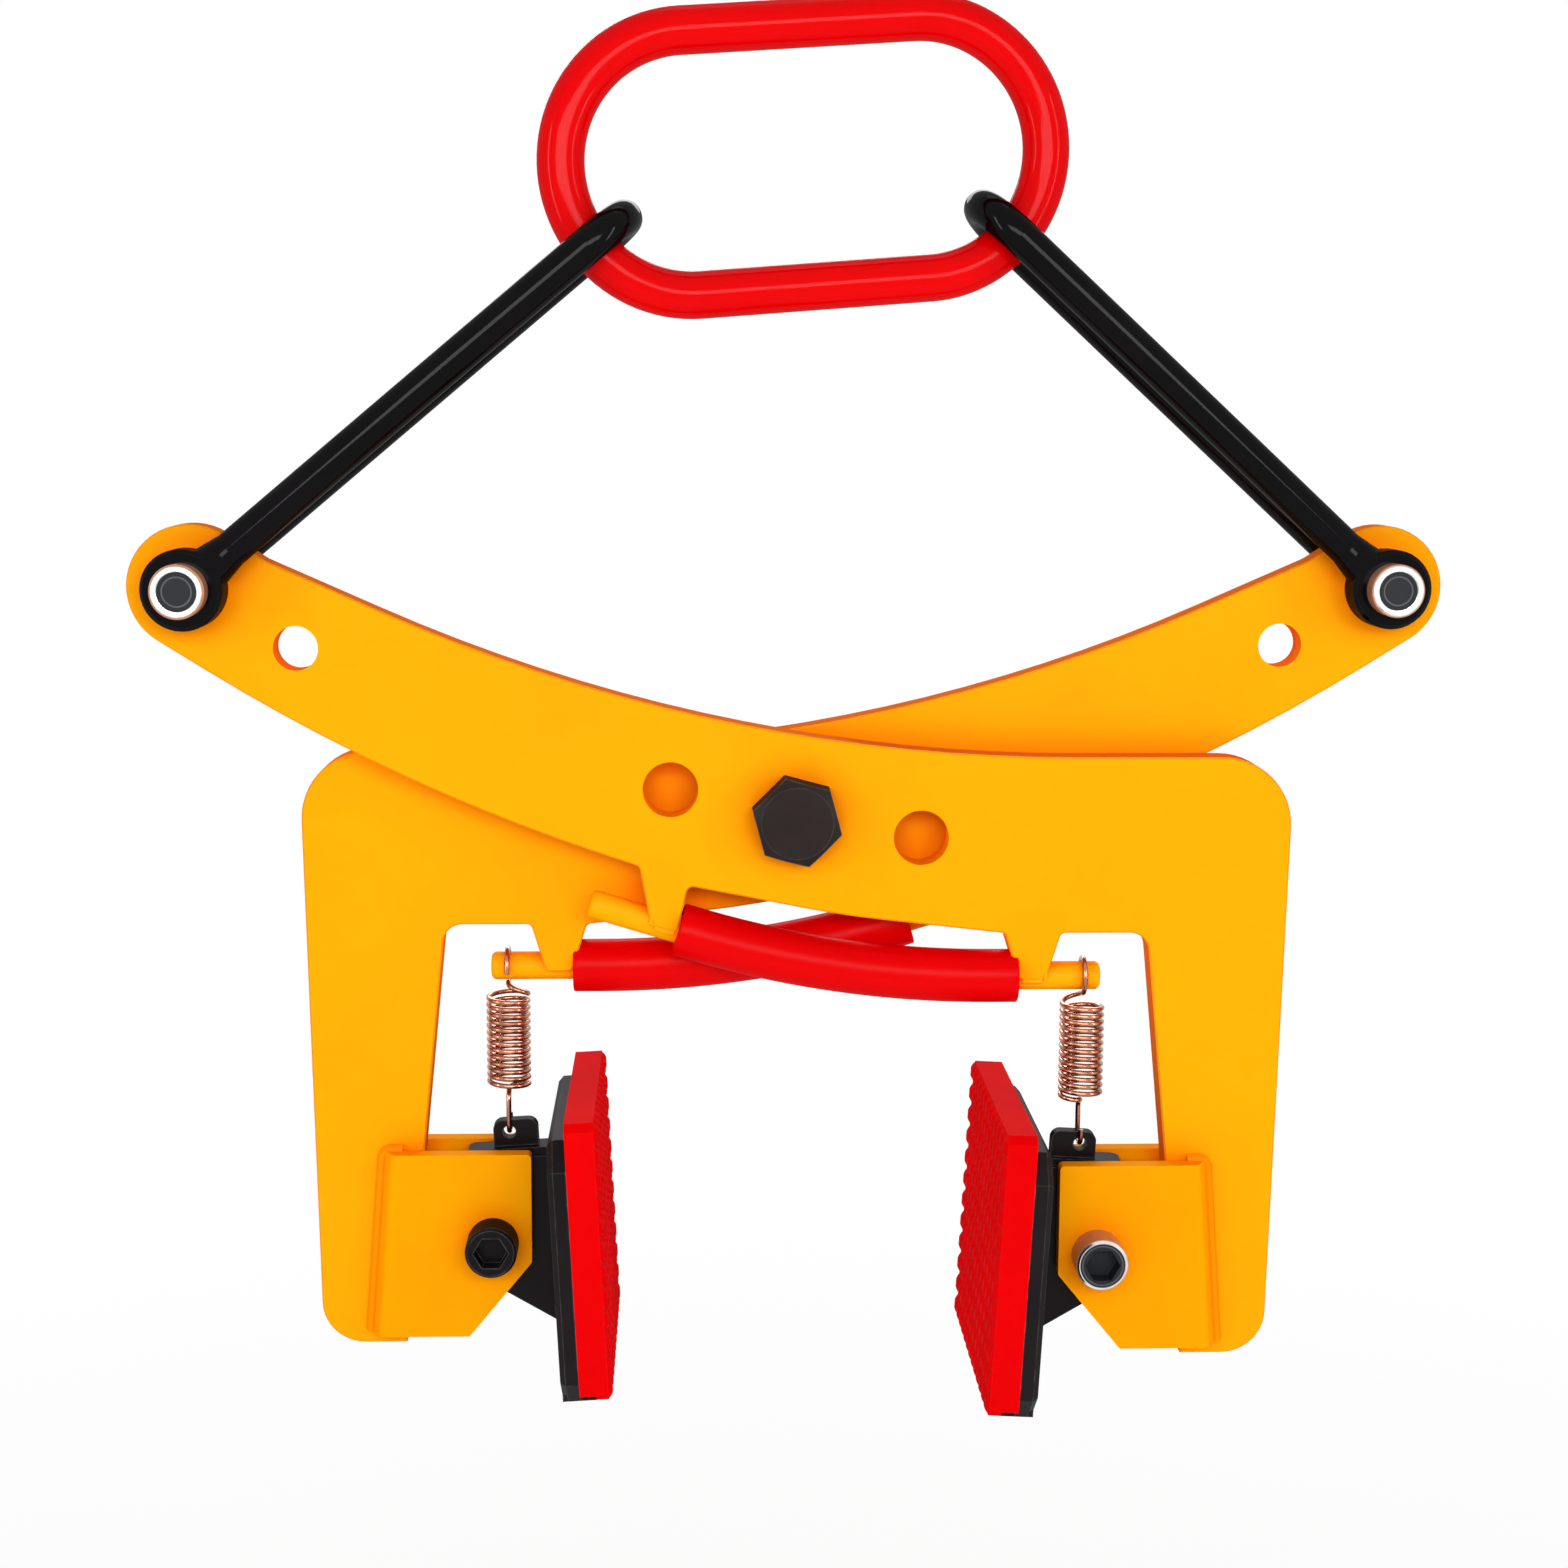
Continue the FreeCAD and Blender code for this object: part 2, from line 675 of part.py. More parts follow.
# Clevis cheeks
def cheek(side):
    """A bent cheek of the right jaw: side -1 is the front one and 1 the rear one."""
    outer = -arm_mid + side * cheek_face
    inner = -arm_mid + side * cheek_gap / 2
    seat = -arm_mid + side * plate_thickness / 2
    start = cheek_inner_reach - cheek_outer_spread
    depth = abs(outer - seat)
    flange_foot = cheek_outer_reach - cheek_thickness * math.hypot(cheek_flange_lean, depth) / depth
    flange_root = flange_foot - cheek_flange_lean * abs(inner - seat) / depth
    plan = [
        (start, outer, 0),
        (cheek_outer_reach - cheek_flange_lean, outer, cheek_bend_round),
        (cheek_outer_reach, seat, 0),
        (flange_foot, seat, 0),
        (flange_root, inner, 0),
        (start, inner, 0),
    ]
    points = [(Vector(x, y, -cheek_top_drop), radius) for x, y, radius in plan]
    fall = Vector(cheek_outer_spread, 0, cheek_top_drop - cheek_bottom_drop)
    bent = rounded_face(points).extrude(fall)
    far = cheek_outer_reach + cheek_outer_spread + overrun
    outline = [
        (cheek_inner_reach, -cheek_top_drop, cheek_corner_round),
        (far, -cheek_top_drop, 0),
        (far, -cheek_bottom_drop, 0),
        (cheek_inner_reach + cheek_cut_width, -cheek_bottom_drop, cheek_corner_round),
        (cheek_inner_reach, -cheek_bottom_drop + cheek_cut_height, cheek_corner_round),
    ]
    low, high = sorted((outer + side * overrun, seat - side * overrun))
    hole = bar_along_y(screw_diameter + 2 * running_clearance, pin_reach, -pin_drop, low, high)
    return bent.common(slab_along_y(outline, low, high)).cut(hole)


# Pads and carriers
def lean(shape):
    """Puts a piece drawn about the pad pin on the right jaw, leaning in at its foot."""
    shape.rotate(CENTRE, Y_AXIS, pad_lean)
    shape.translate(Vector(pin_reach, -arm_mid, -pin_drop))
    return shape


def screw_places():
    """Places (y, z) of the screws behind a pad."""
    half = pad_screw_spread / 2
    return [(y, z) for y in (-half, half) for z in (pad_screw_top_rise, -pad_screw_bottom_drop)]


def screw_bars(diameter, x_from, x_to):
    """Round bars at the places of the pad screws."""
    return [
        Part.makeCylinder(diameter / 2, x_to - x_from, Vector(x_from, y, z), X_AXIS) for y, z in screw_places()
    ]


def pad_carrier():
    half = pad_width / 2
    foot = -lip_drop - lip_thickness
    outline = cut_corners(half, foot, pad_top_rise - carrier_top_gap, carrier_corner)
    plate = slab_along_x(outline, -carrier_front, -carrier_back)
    rims = [edge for edge in plate.Edges if edge.BoundBox.XMin > -carrier_back - least_length]
    plate = plate.makeChamfer(carrier_edge, rims)
    lip = Part.makeBox(
        lip_depth + carrier_thickness,
        pad_width - 2 * carrier_corner,
        lip_thickness,
        Vector(-carrier_front - lip_depth, -half + carrier_corner, foot),
    )
    inside = -carrier_back - carrier_thickness / 2
    touch = math.acos(lug_boss_radius / math.hypot(inside, lug_foot_drop)) + math.atan2(-lug_foot_drop, inside)
    web_head = lug_head_rise - tongue_thickness
    web = [
        (inside, web_head, 0),
        (lug_head_reach, web_head, 0),
        (lug_boss_radius, 0, 0),
        (lug_boss_radius * math.cos(touch), lug_boss_radius * math.sin(touch), 0),
        (inside, -lug_foot_drop, 0),
    ]
    lug = slab_along_y(web, -lug_half_width, lug_half_width)
    boss = bar_along_y(2 * lug_boss_radius, 0, 0, -lug_half_width, lug_half_width)
    wide = tongue_width / 2
    tongue_plan = [
        (inside, -wide, 0),
        (tongue_reach, -wide, tongue_round),
        (tongue_reach, wide, tongue_round),
        (inside, wide, 0),
    ]
    tongue = slab_along_z(tongue_plan, web_head, lug_head_rise)
    ear_outline = [
        (-tongue_start, lug_head_rise, 0),
        (-tongue_start, lug_top_rise, spring_lug_round),
        (-tongue_start + spring_lug_width, lug_top_rise, spring_lug_round),
        (-tongue_start + spring_lug_width, lug_head_rise, 0),
    ]
    ear_front = spring_lug_mid - spring_lug_thickness / 2
    ear = slab_along_y(ear_outline, ear_front, ear_front + spring_lug_thickness)
    body = plate.fuse([lip, lug, boss, tongue, ear]).removeSplitter()
    bore = bar_along_y(pad_bush_diameter + 2 * running_clearance, 0, 0, -cheek_gap, cheek_gap)
    ear_back = ear_front + spring_lug_thickness + overrun
    hole = bar_along_y(spring_hole_diameter, spring_hole_reach, spring_hole_rise, ear_front - overrun, ear_back)
    screw_hole = pad_screw_diameter + 2 * running_clearance
    screws = screw_bars(screw_hole, -carrier_front - overrun, -carrier_back + overrun)
    head_hole = pad_screw_head_diameter + 2 * side_clearance
    screws += screw_bars(head_hole, -carrier_back - pad_screw_head_height, -carrier_back + overrun)
    return lean(body.cut(Part.makeCompound([bore, hole] + screws)))


def pad_bush():
    inner = screw_diameter + 2 * running_clearance
    return lean(tube_along_y(pad_bush_diameter, inner, 0, 0, -lug_half_width, lug_half_width))


def studs():
    """The rows of blunt studs on the grip face."""
    rows = int((pad_top_rise + pad_toe_drop - stud_base) / stud_pitch) + 1
    columns = int((pad_width - stud_base) / stud_pitch) + 1
    middle = (pad_top_rise - pad_toe_drop) / 2
    found = []
    for row in range(rows):
        for column in range(columns):
            z = middle + (row - (rows - 1) / 2) * stud_pitch
            y = (column - (columns - 1) / 2) * stud_pitch
            found.append(stud(y, z))
    return found


def stud(y, z):
    """One blunt pyramid that grows from the grip face."""
    base = stud_base / 2
    top = stud_top / 2
    body = Part.makeWedge(-base, 0, -base, -top, -top, base, stud_height, base, top, top)
    body.rotate(CENTRE, Z_AXIS, quarter_turn)
    body.translate(Vector(-carrier_front - pad_thickness, y, z))
    return body


def grip_pad():
    face = -carrier_front - pad_thickness
    half = pad_width / 2
    profile = [
        (face, pad_top_rise, 0),
        (-carrier_front, pad_top_rise, 0),
        (-carrier_front, -lip_drop, 0),
        (-carrier_front - lip_depth, -lip_drop, 0),
        (-carrier_front - lip_depth, -pad_toe_drop, 0),
        (face, -pad_toe_drop, 0),
    ]
    outline = cut_corners(half, -pad_toe_drop, pad_top_rise, pad_corner)
    block = slab_along_y(profile, -half, half).fuse(studs())
    body = block.common(slab_along_x(outline, face - stud_height, -carrier_front))
    screw_hole = pad_screw_diameter + 2 * running_clearance
    holes = screw_bars(screw_hole, -carrier_front - pad_screw_grip, -carrier_front + overrun)
    return lean(body.cut(Part.makeCompound(holes)))


def pad_screws():
    """The four screws that hold a pad, with round heads sunk in the carrier's back."""
    shanks = screw_bars(pad_screw_diameter, -carrier_front - pad_screw_grip, -carrier_back - pad_screw_head_height)
    heads = screw_bars(pad_screw_head_diameter, -carrier_back - pad_screw_head_height, -carrier_back)
    return lean(Part.makeCompound([head.fuse(shank) for head, shank in zip(heads, shanks)]))


# Springs
def arc_between(start, along, end):
    """The arc that leaves its start along a direction and reaches its end, or a line if straight."""
    chord = end - start
    length = chord.Length
    chord.normalize()
    sideways = along - chord * along.dot(chord)
    if sideways.Length < least_length:
        return Part.makeLine(start, end)
    bow = length / 2 * math.tan(along.getAngle(chord) / 2)
    middle = (start + end) / 2 + sideways.normalize() * bow
    return Part.Arc(start, middle, end).toShape()


def biarc(first, second):
    """Two arcs that join two places with given directions smoothly."""
    start, out = first
    end, into = second
    chord = end - start
    both = out + into
    spread = 2 * (1 - out.dot(into))
    if spread < least_length:
        reach = chord.dot(chord) / (4 * chord.dot(into))
    else:
        along = chord.dot(both)
        reach = (math.sqrt(along**2 + spread * chord.dot(chord)) - along) / spread
    middle = (start + end + (out - into) * reach) / 2
    turn = (middle - start - out * reach).normalize()
    return [arc_between(start, out, middle), arc_between(middle, turn, end)]


def spring_stations():
    """Places and directions of the wire at each quarter turn, from the eye to the hook."""
    coil = (spring_diameter - spring_wire) / 2
    eye = rod_radius + spring_loop_clearance + spring_wire / 2
    hook_low = -hook_drop
    coil_top = -rod_drop - eye - spring_neck
    coil_foot = hook_low + 2 * spring_hook_radius + spring_leg + spring_foot
    turns = round((coil_top - coil_foot) / spring_pitch)
    pitch = (coil_top - coil_foot) / turns
    stations = []

    def station(x, y, z, dx, dy, dz):
        place = Vector(spring_reach + x, -rod_mid + y, z)
        stations.append((place, Vector(dx, dy, dz).normalize()))

    # The eye round the rod, begun by a straight end
    station(0, eye, -rod_drop - spring_wire, 0, 0, 1)
    for quarter in range(1, 5):
        turn = math.radians(quarter * quarter_turn)
        across = math.sin(turn)
        down = math.cos(turn)
        station(0, eye * across, -rod_drop - eye * down, 0, down, across)
    # From the eye's foot out to the coil
    station(-coil / 2, coil / 2, coil_top + spring_neck / 2, -coil, 0, -spring_neck)
    # The coil
    for quarter in range(4 * turns + 1):
        turn = math.radians(half_turn + quarter * quarter_turn)
        place_x = coil * math.cos(turn)
        place_y = coil * math.sin(turn)
        height = coil_top - pitch * quarter / 4
        station(place_x, place_y, height, -place_y, place_x, -pitch / (2 * math.pi))
    # From the coil back to its middle line
    station(-coil / 2, -coil / 2, coil_foot - spring_foot / 2, coil, 0, -spring_foot)
    station(0, 0, coil_foot - spring_foot, 0, 1, 0)
    # The leg and the hook through the lug, with a straight end
    hook = spring_hook_radius
    leg_top = coil_foot - spring_foot - hook
    station(0, hook, leg_top, 0, 0, -1)
    station(0, hook, hook_low + hook, 0, 0, -1)
    station(0, 0, hook_low, 0, -1, 0)
    station(0, -hook, hook_low + hook, 0, 0, 1)
    station(0, -hook, hook_low + hook + spring_wire, 0, 0, 1)
    return stations


def extension_spring():
    stations = spring_stations()
    edges = []
    for first, second in zip(stations, stations[1:]):
        straight = (second[0] - first[0]).cross(first[1]).Length < least_length
        if straight and (first[1] - second[1]).Length < least_length:
            edges.append(Part.makeLine(first[0], second[0]))
        else:
            edges += biarc(first, second)
    print("spring: least gap of the wire to itself", round(least_wire_gap(edges), 3))
    return round_sweep(Part.Wire(edges), spring_wire)


def least_wire_gap(edges):
    """The least free gap between stretches of wire that lie a few wire widths apart along it."""
    points = []
    travel = 0
    for edge in edges:
        for point in edge.discretize(gap_samples)[1:]:
            if points:
                travel += (point - points[-1][0]).Length
            points.append((point, travel))
    apart = math.pi * spring_wire
    least = spring_diameter
    for index, (point, here) in enumerate(points):
        for other, there in points[index + 1 :]:
            if there - here > apart:
                least = min(least, (other - point).Length)
    return least - spring_wire


def main():
    save("master_link", master_link())
    save("front_shackle", shackle(left_link_slope))
    save("rear_shackle", rear_twin(shackle(right_link_slope)))
    save("front_arm_plate", arm_plate(True))
    save("rear_arm_plate", rear_twin(arm_plate(False)))
    save("pivot_bolt", pivot_bolt())
    save("pivot_nut", pivot_nut())
    save("pivot_washer", pivot_washer())
    save("thrust_washer", thrust_washer())

    # Screws and nuts, whose heads all face the front
    for name, side in (("front", -1), ("rear", 1)):
        mid = side * arm_mid
        eye_x = side * eye_reach
        pin_x = -side * pin_reach
        save(name + "_link_bolt", link_pin(eye_x, eye_rise, mid - link_seat, mid + link_seat))
        save(name + "_link_nut", screw_nut(eye_x, eye_rise, mid + link_seat))
        save(name + "_pad_bolt", socket_screw(pin_x, -pin_drop, mid - cheek_face, mid + cheek_face))
        save(name + "_pad_nut", screw_nut(pin_x, -pin_drop, mid + cheek_face))

    # Pieces that the two arms share, drawn on the front arm
    pairs = {
        "link_bush": link_bush(),
        "link_spacers": link_spacers(),
        "buffer_rod": buffer_rod(),
        "buffer_sleeve": buffer_sleeve(),
        "outer_cheek": cheek(-1),
        "inner_cheek": cheek(1),
        "pad_carrier": pad_carrier(),
        "pad_bush": pad_bush(),
        "grip_pad": grip_pad(),
        "pad_screws": pad_screws(),
        "spring": extension_spring(),
    }
    for name, shape in pairs.items():
        save("front_" + name, shape)
        save("rear_" + name, rear_twin(shape))

    for name, point in (
        ("left ring end", hung_point(-ring_half_straight, 0)),
        ("right ring end", hung_point(ring_half_straight, 0)),
        ("pivot", CENTRE),
        ("front eye", Vector(-eye_reach, -arm_mid, eye_rise)),
        ("front pin", Vector(pin_reach, -arm_mid, -pin_drop)),
    ):
        print(name, [round(value, 3) for value in point - hook_seat])


main()
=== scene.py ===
import json
import math

import bmesh
import bpy
from mathutils import Matrix, Vector


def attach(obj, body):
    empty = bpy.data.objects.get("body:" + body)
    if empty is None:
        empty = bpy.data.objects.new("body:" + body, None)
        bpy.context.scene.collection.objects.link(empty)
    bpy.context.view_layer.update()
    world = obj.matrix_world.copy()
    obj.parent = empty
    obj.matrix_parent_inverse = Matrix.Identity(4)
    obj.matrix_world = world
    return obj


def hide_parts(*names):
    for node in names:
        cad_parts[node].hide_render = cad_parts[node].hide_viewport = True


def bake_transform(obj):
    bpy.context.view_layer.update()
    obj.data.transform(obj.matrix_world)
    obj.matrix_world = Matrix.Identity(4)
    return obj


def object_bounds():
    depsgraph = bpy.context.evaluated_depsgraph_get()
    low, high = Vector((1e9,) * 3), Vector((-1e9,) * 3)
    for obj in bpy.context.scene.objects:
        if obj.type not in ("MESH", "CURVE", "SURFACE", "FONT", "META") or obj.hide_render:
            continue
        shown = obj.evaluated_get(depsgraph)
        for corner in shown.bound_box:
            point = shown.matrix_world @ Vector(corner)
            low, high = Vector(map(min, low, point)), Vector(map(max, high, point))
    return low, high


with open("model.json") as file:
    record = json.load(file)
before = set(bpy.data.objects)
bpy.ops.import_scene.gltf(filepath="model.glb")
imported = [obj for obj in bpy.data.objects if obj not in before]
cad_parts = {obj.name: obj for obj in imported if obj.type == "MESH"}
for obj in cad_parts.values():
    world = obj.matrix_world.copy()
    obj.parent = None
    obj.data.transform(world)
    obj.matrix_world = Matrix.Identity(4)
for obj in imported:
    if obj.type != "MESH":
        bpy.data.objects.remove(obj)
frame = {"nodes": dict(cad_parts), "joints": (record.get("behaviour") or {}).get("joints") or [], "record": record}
cad_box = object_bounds()

# Sizes in metres, measured from the main pivot with +X to the right and -Y to the front
mm = 0.001
plate_face = 19.7 * mm
plate_back = 3.7 * mm
rod_mid = 12.55 * mm
rod_drop = 74.45 * mm
rod_radius = 6.5 * mm
rod_slope = math.radians(17.0)
rod_corner_reach = 19.18 * mm
rod_bend_reach = 70.0 * mm
rod_bend_steps = 20
inner_claw_reach = 60.0 * mm
outer_claw_reach = 108.83 * mm
claw_tip = 12.0 * mm
claw_cover = 1.2 * mm
merge_gap = 0.002 * mm

# Buffer sleeves
sleeve_from = -53.6 * mm
sleeve_to = 102.4 * mm
sleeve_radius = 12.25 * mm
sleeve_bore = 6.6 * mm
sleeve_sides = 48
sleeve_lip = 0.9 * mm
sleeve_lip_steps = 3

# Springs
spring_inset = 7.0 * mm
spring_span = 79.5 * mm
wire_radius = 1.2 * mm
wire_tail = 2 * wire_radius
wire_sides = 12
wire_steps = 32
coil_radius = 9.2 * mm
coil_turns = 13
spring_neck = 5.3 * mm
spring_foot = 2.5 * mm
spring_leg = 10.4 * mm
hook_radius = 5.0 * mm
loop_radius = 8.2 * mm
loop_turn = math.radians(270.0)

# Grip pads, measured from the pad pin
pad_lean = math.radians(3.0)
pad_width = 136.0 * mm
pad_top = 68.3 * mm
pad_toe = -61.2 * mm
pad_face = -52.2 * mm
pad_step = -46.5 * mm
pad_back = -39.0 * mm
pad_step_rise = 2.5 * mm
pad_corner = 3.5 * mm
stud_columns = 13
stud_rows = 12
stud_margin = 1.1 * mm
stud_shoulder_height = 1.1 * mm
stud_shoulder_share = 0.74
stud_crown_height = 0.7 * mm
stud_crown_share = 0.66

# Weld beads
weld_radius = 1.3 * mm
weld_sides = 10
weld_steps = 20
weld_inset = 1.5 * mm
cheek_weld_radius = 2.8 * mm
cheek_weld_reach = 191.63 * mm
cheek_weld_run = 9.17 * mm
cheek_weld_bend = 4.0 * mm
cheek_top = 160.58 * mm
cheek_bottom = 248.48 * mm
cheek_spread = 7.0 * mm

# Spare pivot holes
spare_holes = ((-56.93 * mm, 13.27 * mm), (56.93 * mm, -8.87 * mm))
spare_hole_radius = 12.55 * mm
spare_hole_edge = 0.6 * mm

joints = {joint["name"]: joint for joint in frame["joints"]}
pivot = Vector(joints["main_pivot"]["pos_m"])
pin = Vector(joints["front_pad_swing"]["pos_m"]) - pivot
sides = {
    "front": Matrix.Translation(pivot),
    "rear": Matrix.Translation(pivot) @ Matrix.Rotation(math.pi, 4, "Z"),
}


# Tools for the meshes
def ring_edges(items):
    """The edges among some mesh items."""
    return [item for item in items if isinstance(item, bmesh.types.BMEdge)]


def ring_verts(edges):
    """The vertices of some edges, each once."""
    return list({vert for edge in edges for vert in edge.verts})


def draw_out(bm, edges, offset):
    """Carries open edges along a straight run and returns the edges at its end."""
    grown = bmesh.ops.extrude_edge_only(bm, edges=edges)["geom"]
    far_verts = [item for item in grown if isinstance(item, bmesh.types.BMVert)]
    bmesh.ops.translate(bm, vec=offset, verts=far_verts)
    return [edge for edge in ring_edges(grown) if edge.is_boundary]


def turn_out(bm, edges, centre, axis, angle, steps, rise=0.0):
    """Carries open edges round an axis, with a rise along Z, and returns the edges at the end."""
    spun = bmesh.ops.spin(
        bm,
        geom=edges + ring_verts(edges),
        cent=centre,
        axis=axis,
        angle=angle,
        steps=steps,
        dvec=(0.0, 0.0, rise / steps),
        use_merge=False,
    )
    return ring_edges(spun["geom_last"])


def finish_mesh(bm, name, side, sharp_angle=math.radians(35.0)):
    """Moves a mesh to its side of the tongs and makes it a piece."""
    bmesh.ops.remove_doubles(bm, verts=bm.verts, dist=merge_gap)
    bmesh.ops.recalc_face_normals(bm, faces=bm.faces)
    bmesh.ops.transform(bm, matrix=sides[side], verts=bm.verts)
    mesh = bpy.data.meshes.new(name)
    bm.to_mesh(mesh)
    bm.free()
    mesh.shade_smooth()
    mesh.set_sharp_from_angle(angle=sharp_angle)
    piece = bpy.data.objects.new(name, mesh)
    bpy.context.scene.collection.objects.link(piece)
    return piece


# Springs
def spring_mesh():
    """One wire: an eye round the rod, the coil, a leg and a hook through the carrier's ear."""
    bm = bmesh.new()
    place = Matrix.Translation((0, loop_radius, -rod_drop - wire_tail))
    bmesh.ops.create_circle(bm, cap_ends=True, radius=wire_radius, segments=wire_sides, matrix=place)
    end = draw_out(bm, bm.edges[:], (0, 0, wire_tail))
    end = turn_out(bm, end, (0, 0, -rod_drop), (1, 0, 0), loop_turn, wire_steps)
    coil_top = -rod_drop - loop_radius - spring_neck
    hook_low = -rod_drop - spring_span
    coil_foot = hook_low + 2 * hook_radius + spring_leg + spring_foot
    half_way = (-coil_radius / 2, 0, 0)
    end = turn_out(bm, end, half_way, (0, 0, 1), math.pi, wire_steps // 2, -spring_neck)
    coil_angle = 2 * math.pi * coil_turns
    coil_steps = coil_turns * wire_steps
    end = turn_out(bm, end, (0, 0, 0), (0, 0, 1), coil_angle, coil_steps, coil_foot - coil_top)
    end = turn_out(bm, end, half_way, (0, 0, 1), math.pi, wire_steps // 2, -spring_foot)
    leg_top = coil_foot - spring_foot - hook_radius
    end = turn_out(bm, end, (0, 0, leg_top), (1, 0, 0), -math.pi / 2, wire_steps // 4)
    end = draw_out(bm, end, (0, 0, -spring_leg))
    end = turn_out(bm, end, (0, 0, leg_top - spring_leg), (1, 0, 0), -math.pi, wire_steps // 2)
    end = draw_out(bm, end, (0, 0, wire_tail))
    bmesh.ops.contextual_create(bm, geom=end)
    bmesh.ops.translate(bm, vec=(pin.x - spring_inset, -rod_mid, 0), verts=bm.verts)
    return bm


# Buffer sleeves
def rod_point(x):
    """A place on the middle line of the rod's sloped or level run."""
    rise = max(rod_corner_reach - x, 0) * math.tan(rod_slope)
    return Vector((x, -rod_mid, rise - rod_drop))


def sleeve_mesh():
    """A hose with a bore, bent as its rod is, with its end edges eased."""
    bm = bmesh.new()
    start = rod_point(sleeve_from)
    place = Matrix.Translation(start) @ Matrix.Rotation(math.pi / 2 + rod_slope, 4, "Y")
    for radius in (sleeve_radius, sleeve_bore):
        bmesh.ops.create_circle(bm, cap_ends=False, radius=radius, segments=sleeve_sides, matrix=place)
    first = bm.edges[:]
    along = Vector((math.cos(rod_slope), 0, -math.sin(rod_slope)))
    corner = rod_point(rod_corner_reach)
    bend_start = corner - along * rod_bend_reach
    bend_radius = rod_bend_reach / math.tan(rod_slope / 2)
    centre = corner + Vector((rod_bend_reach, 0, bend_radius))
    end = draw_out(bm, first, bend_start - start)
    end = turn_out(bm, end, centre, (0, 1, 0), -rod_slope, rod_bend_steps)
    end = draw_out(bm, end, (sleeve_to - rod_corner_reach - rod_bend_reach, 0, 0))
    bmesh.ops.bridge_loops(bm, edges=first)
    bmesh.ops.bridge_loops(bm, edges=end)
    bmesh.ops.recalc_face_normals(bm, faces=bm.faces)
    bmesh.ops.bevel(
        bm,
        geom=first + end,
        offset=sleeve_lip,
        segments=sleeve_lip_steps,
        profile=0.5,
        affect="EDGES",
        material=-1,
    )
    return bm


# Grip pads
def raise_studs(bm, faces, height, share):
    """Draws each face out to the front and narrows it about its own middle."""
    tops = bmesh.ops.extrude_discrete_faces(bm, faces=faces)["faces"]
    for face in tops:
        middle = face.calc_center_median()
        bmesh.ops.scale(bm, vec=(1, share, share), space=Matrix.Translation(-middle), verts=face.verts)
        bmesh.ops.translate(bm, vec=(-height, 0, 0), verts=face.verts)
    return tops


def pad_mesh():
    """A moulded pad with rows of blunt studs, stepped to hang over the carrier's lip."""
    bm = bmesh.new()
    middle = Vector((pad_face, 0, (pad_top + pad_toe) / 2))
    spread = Matrix.Diagonal((pad_top - pad_toe, pad_width, 1, 1))
    place = Matrix.Translation(middle) @ Matrix.Rotation(-math.pi / 2, 4, "Y") @ spread
    bmesh.ops.create_grid(bm, x_segments=stud_rows, y_segments=stud_columns, size=0.5, matrix=place)
    cells = bm.faces[:]
    end = [edge for edge in bm.edges if edge.is_boundary]
    end = draw_out(bm, end, (pad_step - pad_face, 0, 0))
    end = draw_out(bm, end, (0, 0, 0))
    toe_verts = [vert for vert in ring_verts(end) if vert.co.z < pad_toe + pad_step_rise / 2]
    bmesh.ops.translate(bm, vec=(0, 0, pad_step_rise), verts=toe_verts)
    end = draw_out(bm, end, (pad_back - pad_step, 0, 0))
    bmesh.ops.contextual_create(bm, geom=end)
    bmesh.ops.inset_individual(bm, faces=cells, thickness=stud_margin, use_even_offset=True)
    shoulders = raise_studs(bm, cells, stud_shoulder_height, stud_shoulder_share)
    crowns = raise_studs(bm, shoulders, stud_crown_height, stud_crown_share)
    for face in crowns:
        face.material_index = 1
    bmesh.ops.remove_doubles(bm, verts=bm.verts, dist=merge_gap)
    half = pad_width / 2
    for y_side in (-1, 1):
        for z_side, z_edge in ((1, pad_top), (-1, pad_toe)):
            cut = bmesh.ops.bisect_plane(
                bm,
                geom=bm.verts[:] + bm.edges[:] + bm.faces[:],
                plane_co=(0, y_side * (half - pad_corner), z_edge),
                plane_no=(0, y_side, z_side),
                clear_outer=True,
            )
            bmesh.ops.holes_fill(bm, edges=ring_edges(cut["geom_cut"]), sides=0)
    lean = Matrix.Translation(pin) @ Matrix.Rotation(pad_lean, 4, "Y")
    bmesh.ops.transform(bm, matrix=lean, verts=bm.verts)
    return bm


# Weld beads
def bead_start(bm, place, radius=weld_radius):
    """A small ring of edges that a bead is drawn from."""
    made = bmesh.ops.create_circle(bm, cap_ends=True, radius=radius, segments=weld_sides, matrix=place)
    return list({edge for vert in made["verts"] for edge in vert.link_edges})


def rod_welds_mesh():
    """Beads that hold the rod: over its top beside each claw and along the foot of each claw's front."""
    bm = bmesh.new()
    for claw, way, slope in ((-inner_claw_reach, -1, rod_slope), (outer_claw_reach, 1, 0.0)):
        seat = rod_point(claw + way * claw_tip / 2)
        turn = Matrix.Translation(seat) @ Matrix.Rotation(slope, 4, "Y")
        edges = bead_start(bm, turn @ Matrix.Translation((0, -rod_radius, 0)))
        along = turn.to_3x3() @ Vector((1, 0, 0))
        end = turn_out(bm, edges, seat, along, -math.pi, weld_steps)
        bmesh.ops.contextual_create(bm, geom=end)
        foot = rod_point(claw) + Vector((0, 0, -claw_cover / math.cos(slope)))
        foot.y = -plate_face + weld_radius / 2
        turn = Matrix.Translation(foot) @ Matrix.Rotation(slope, 4, "Y")
        half = claw_tip / 2 - weld_inset
        start = turn @ Matrix.Translation((-half, 0, 0)) @ Matrix.Rotation(math.pi / 2, 4, "Y")
        end = draw_out(bm, bead_start(bm, start), turn.to_3x3() @ Vector((2 * half, 0, 0)))
        bmesh.ops.contextual_create(bm, geom=end)
    return bm


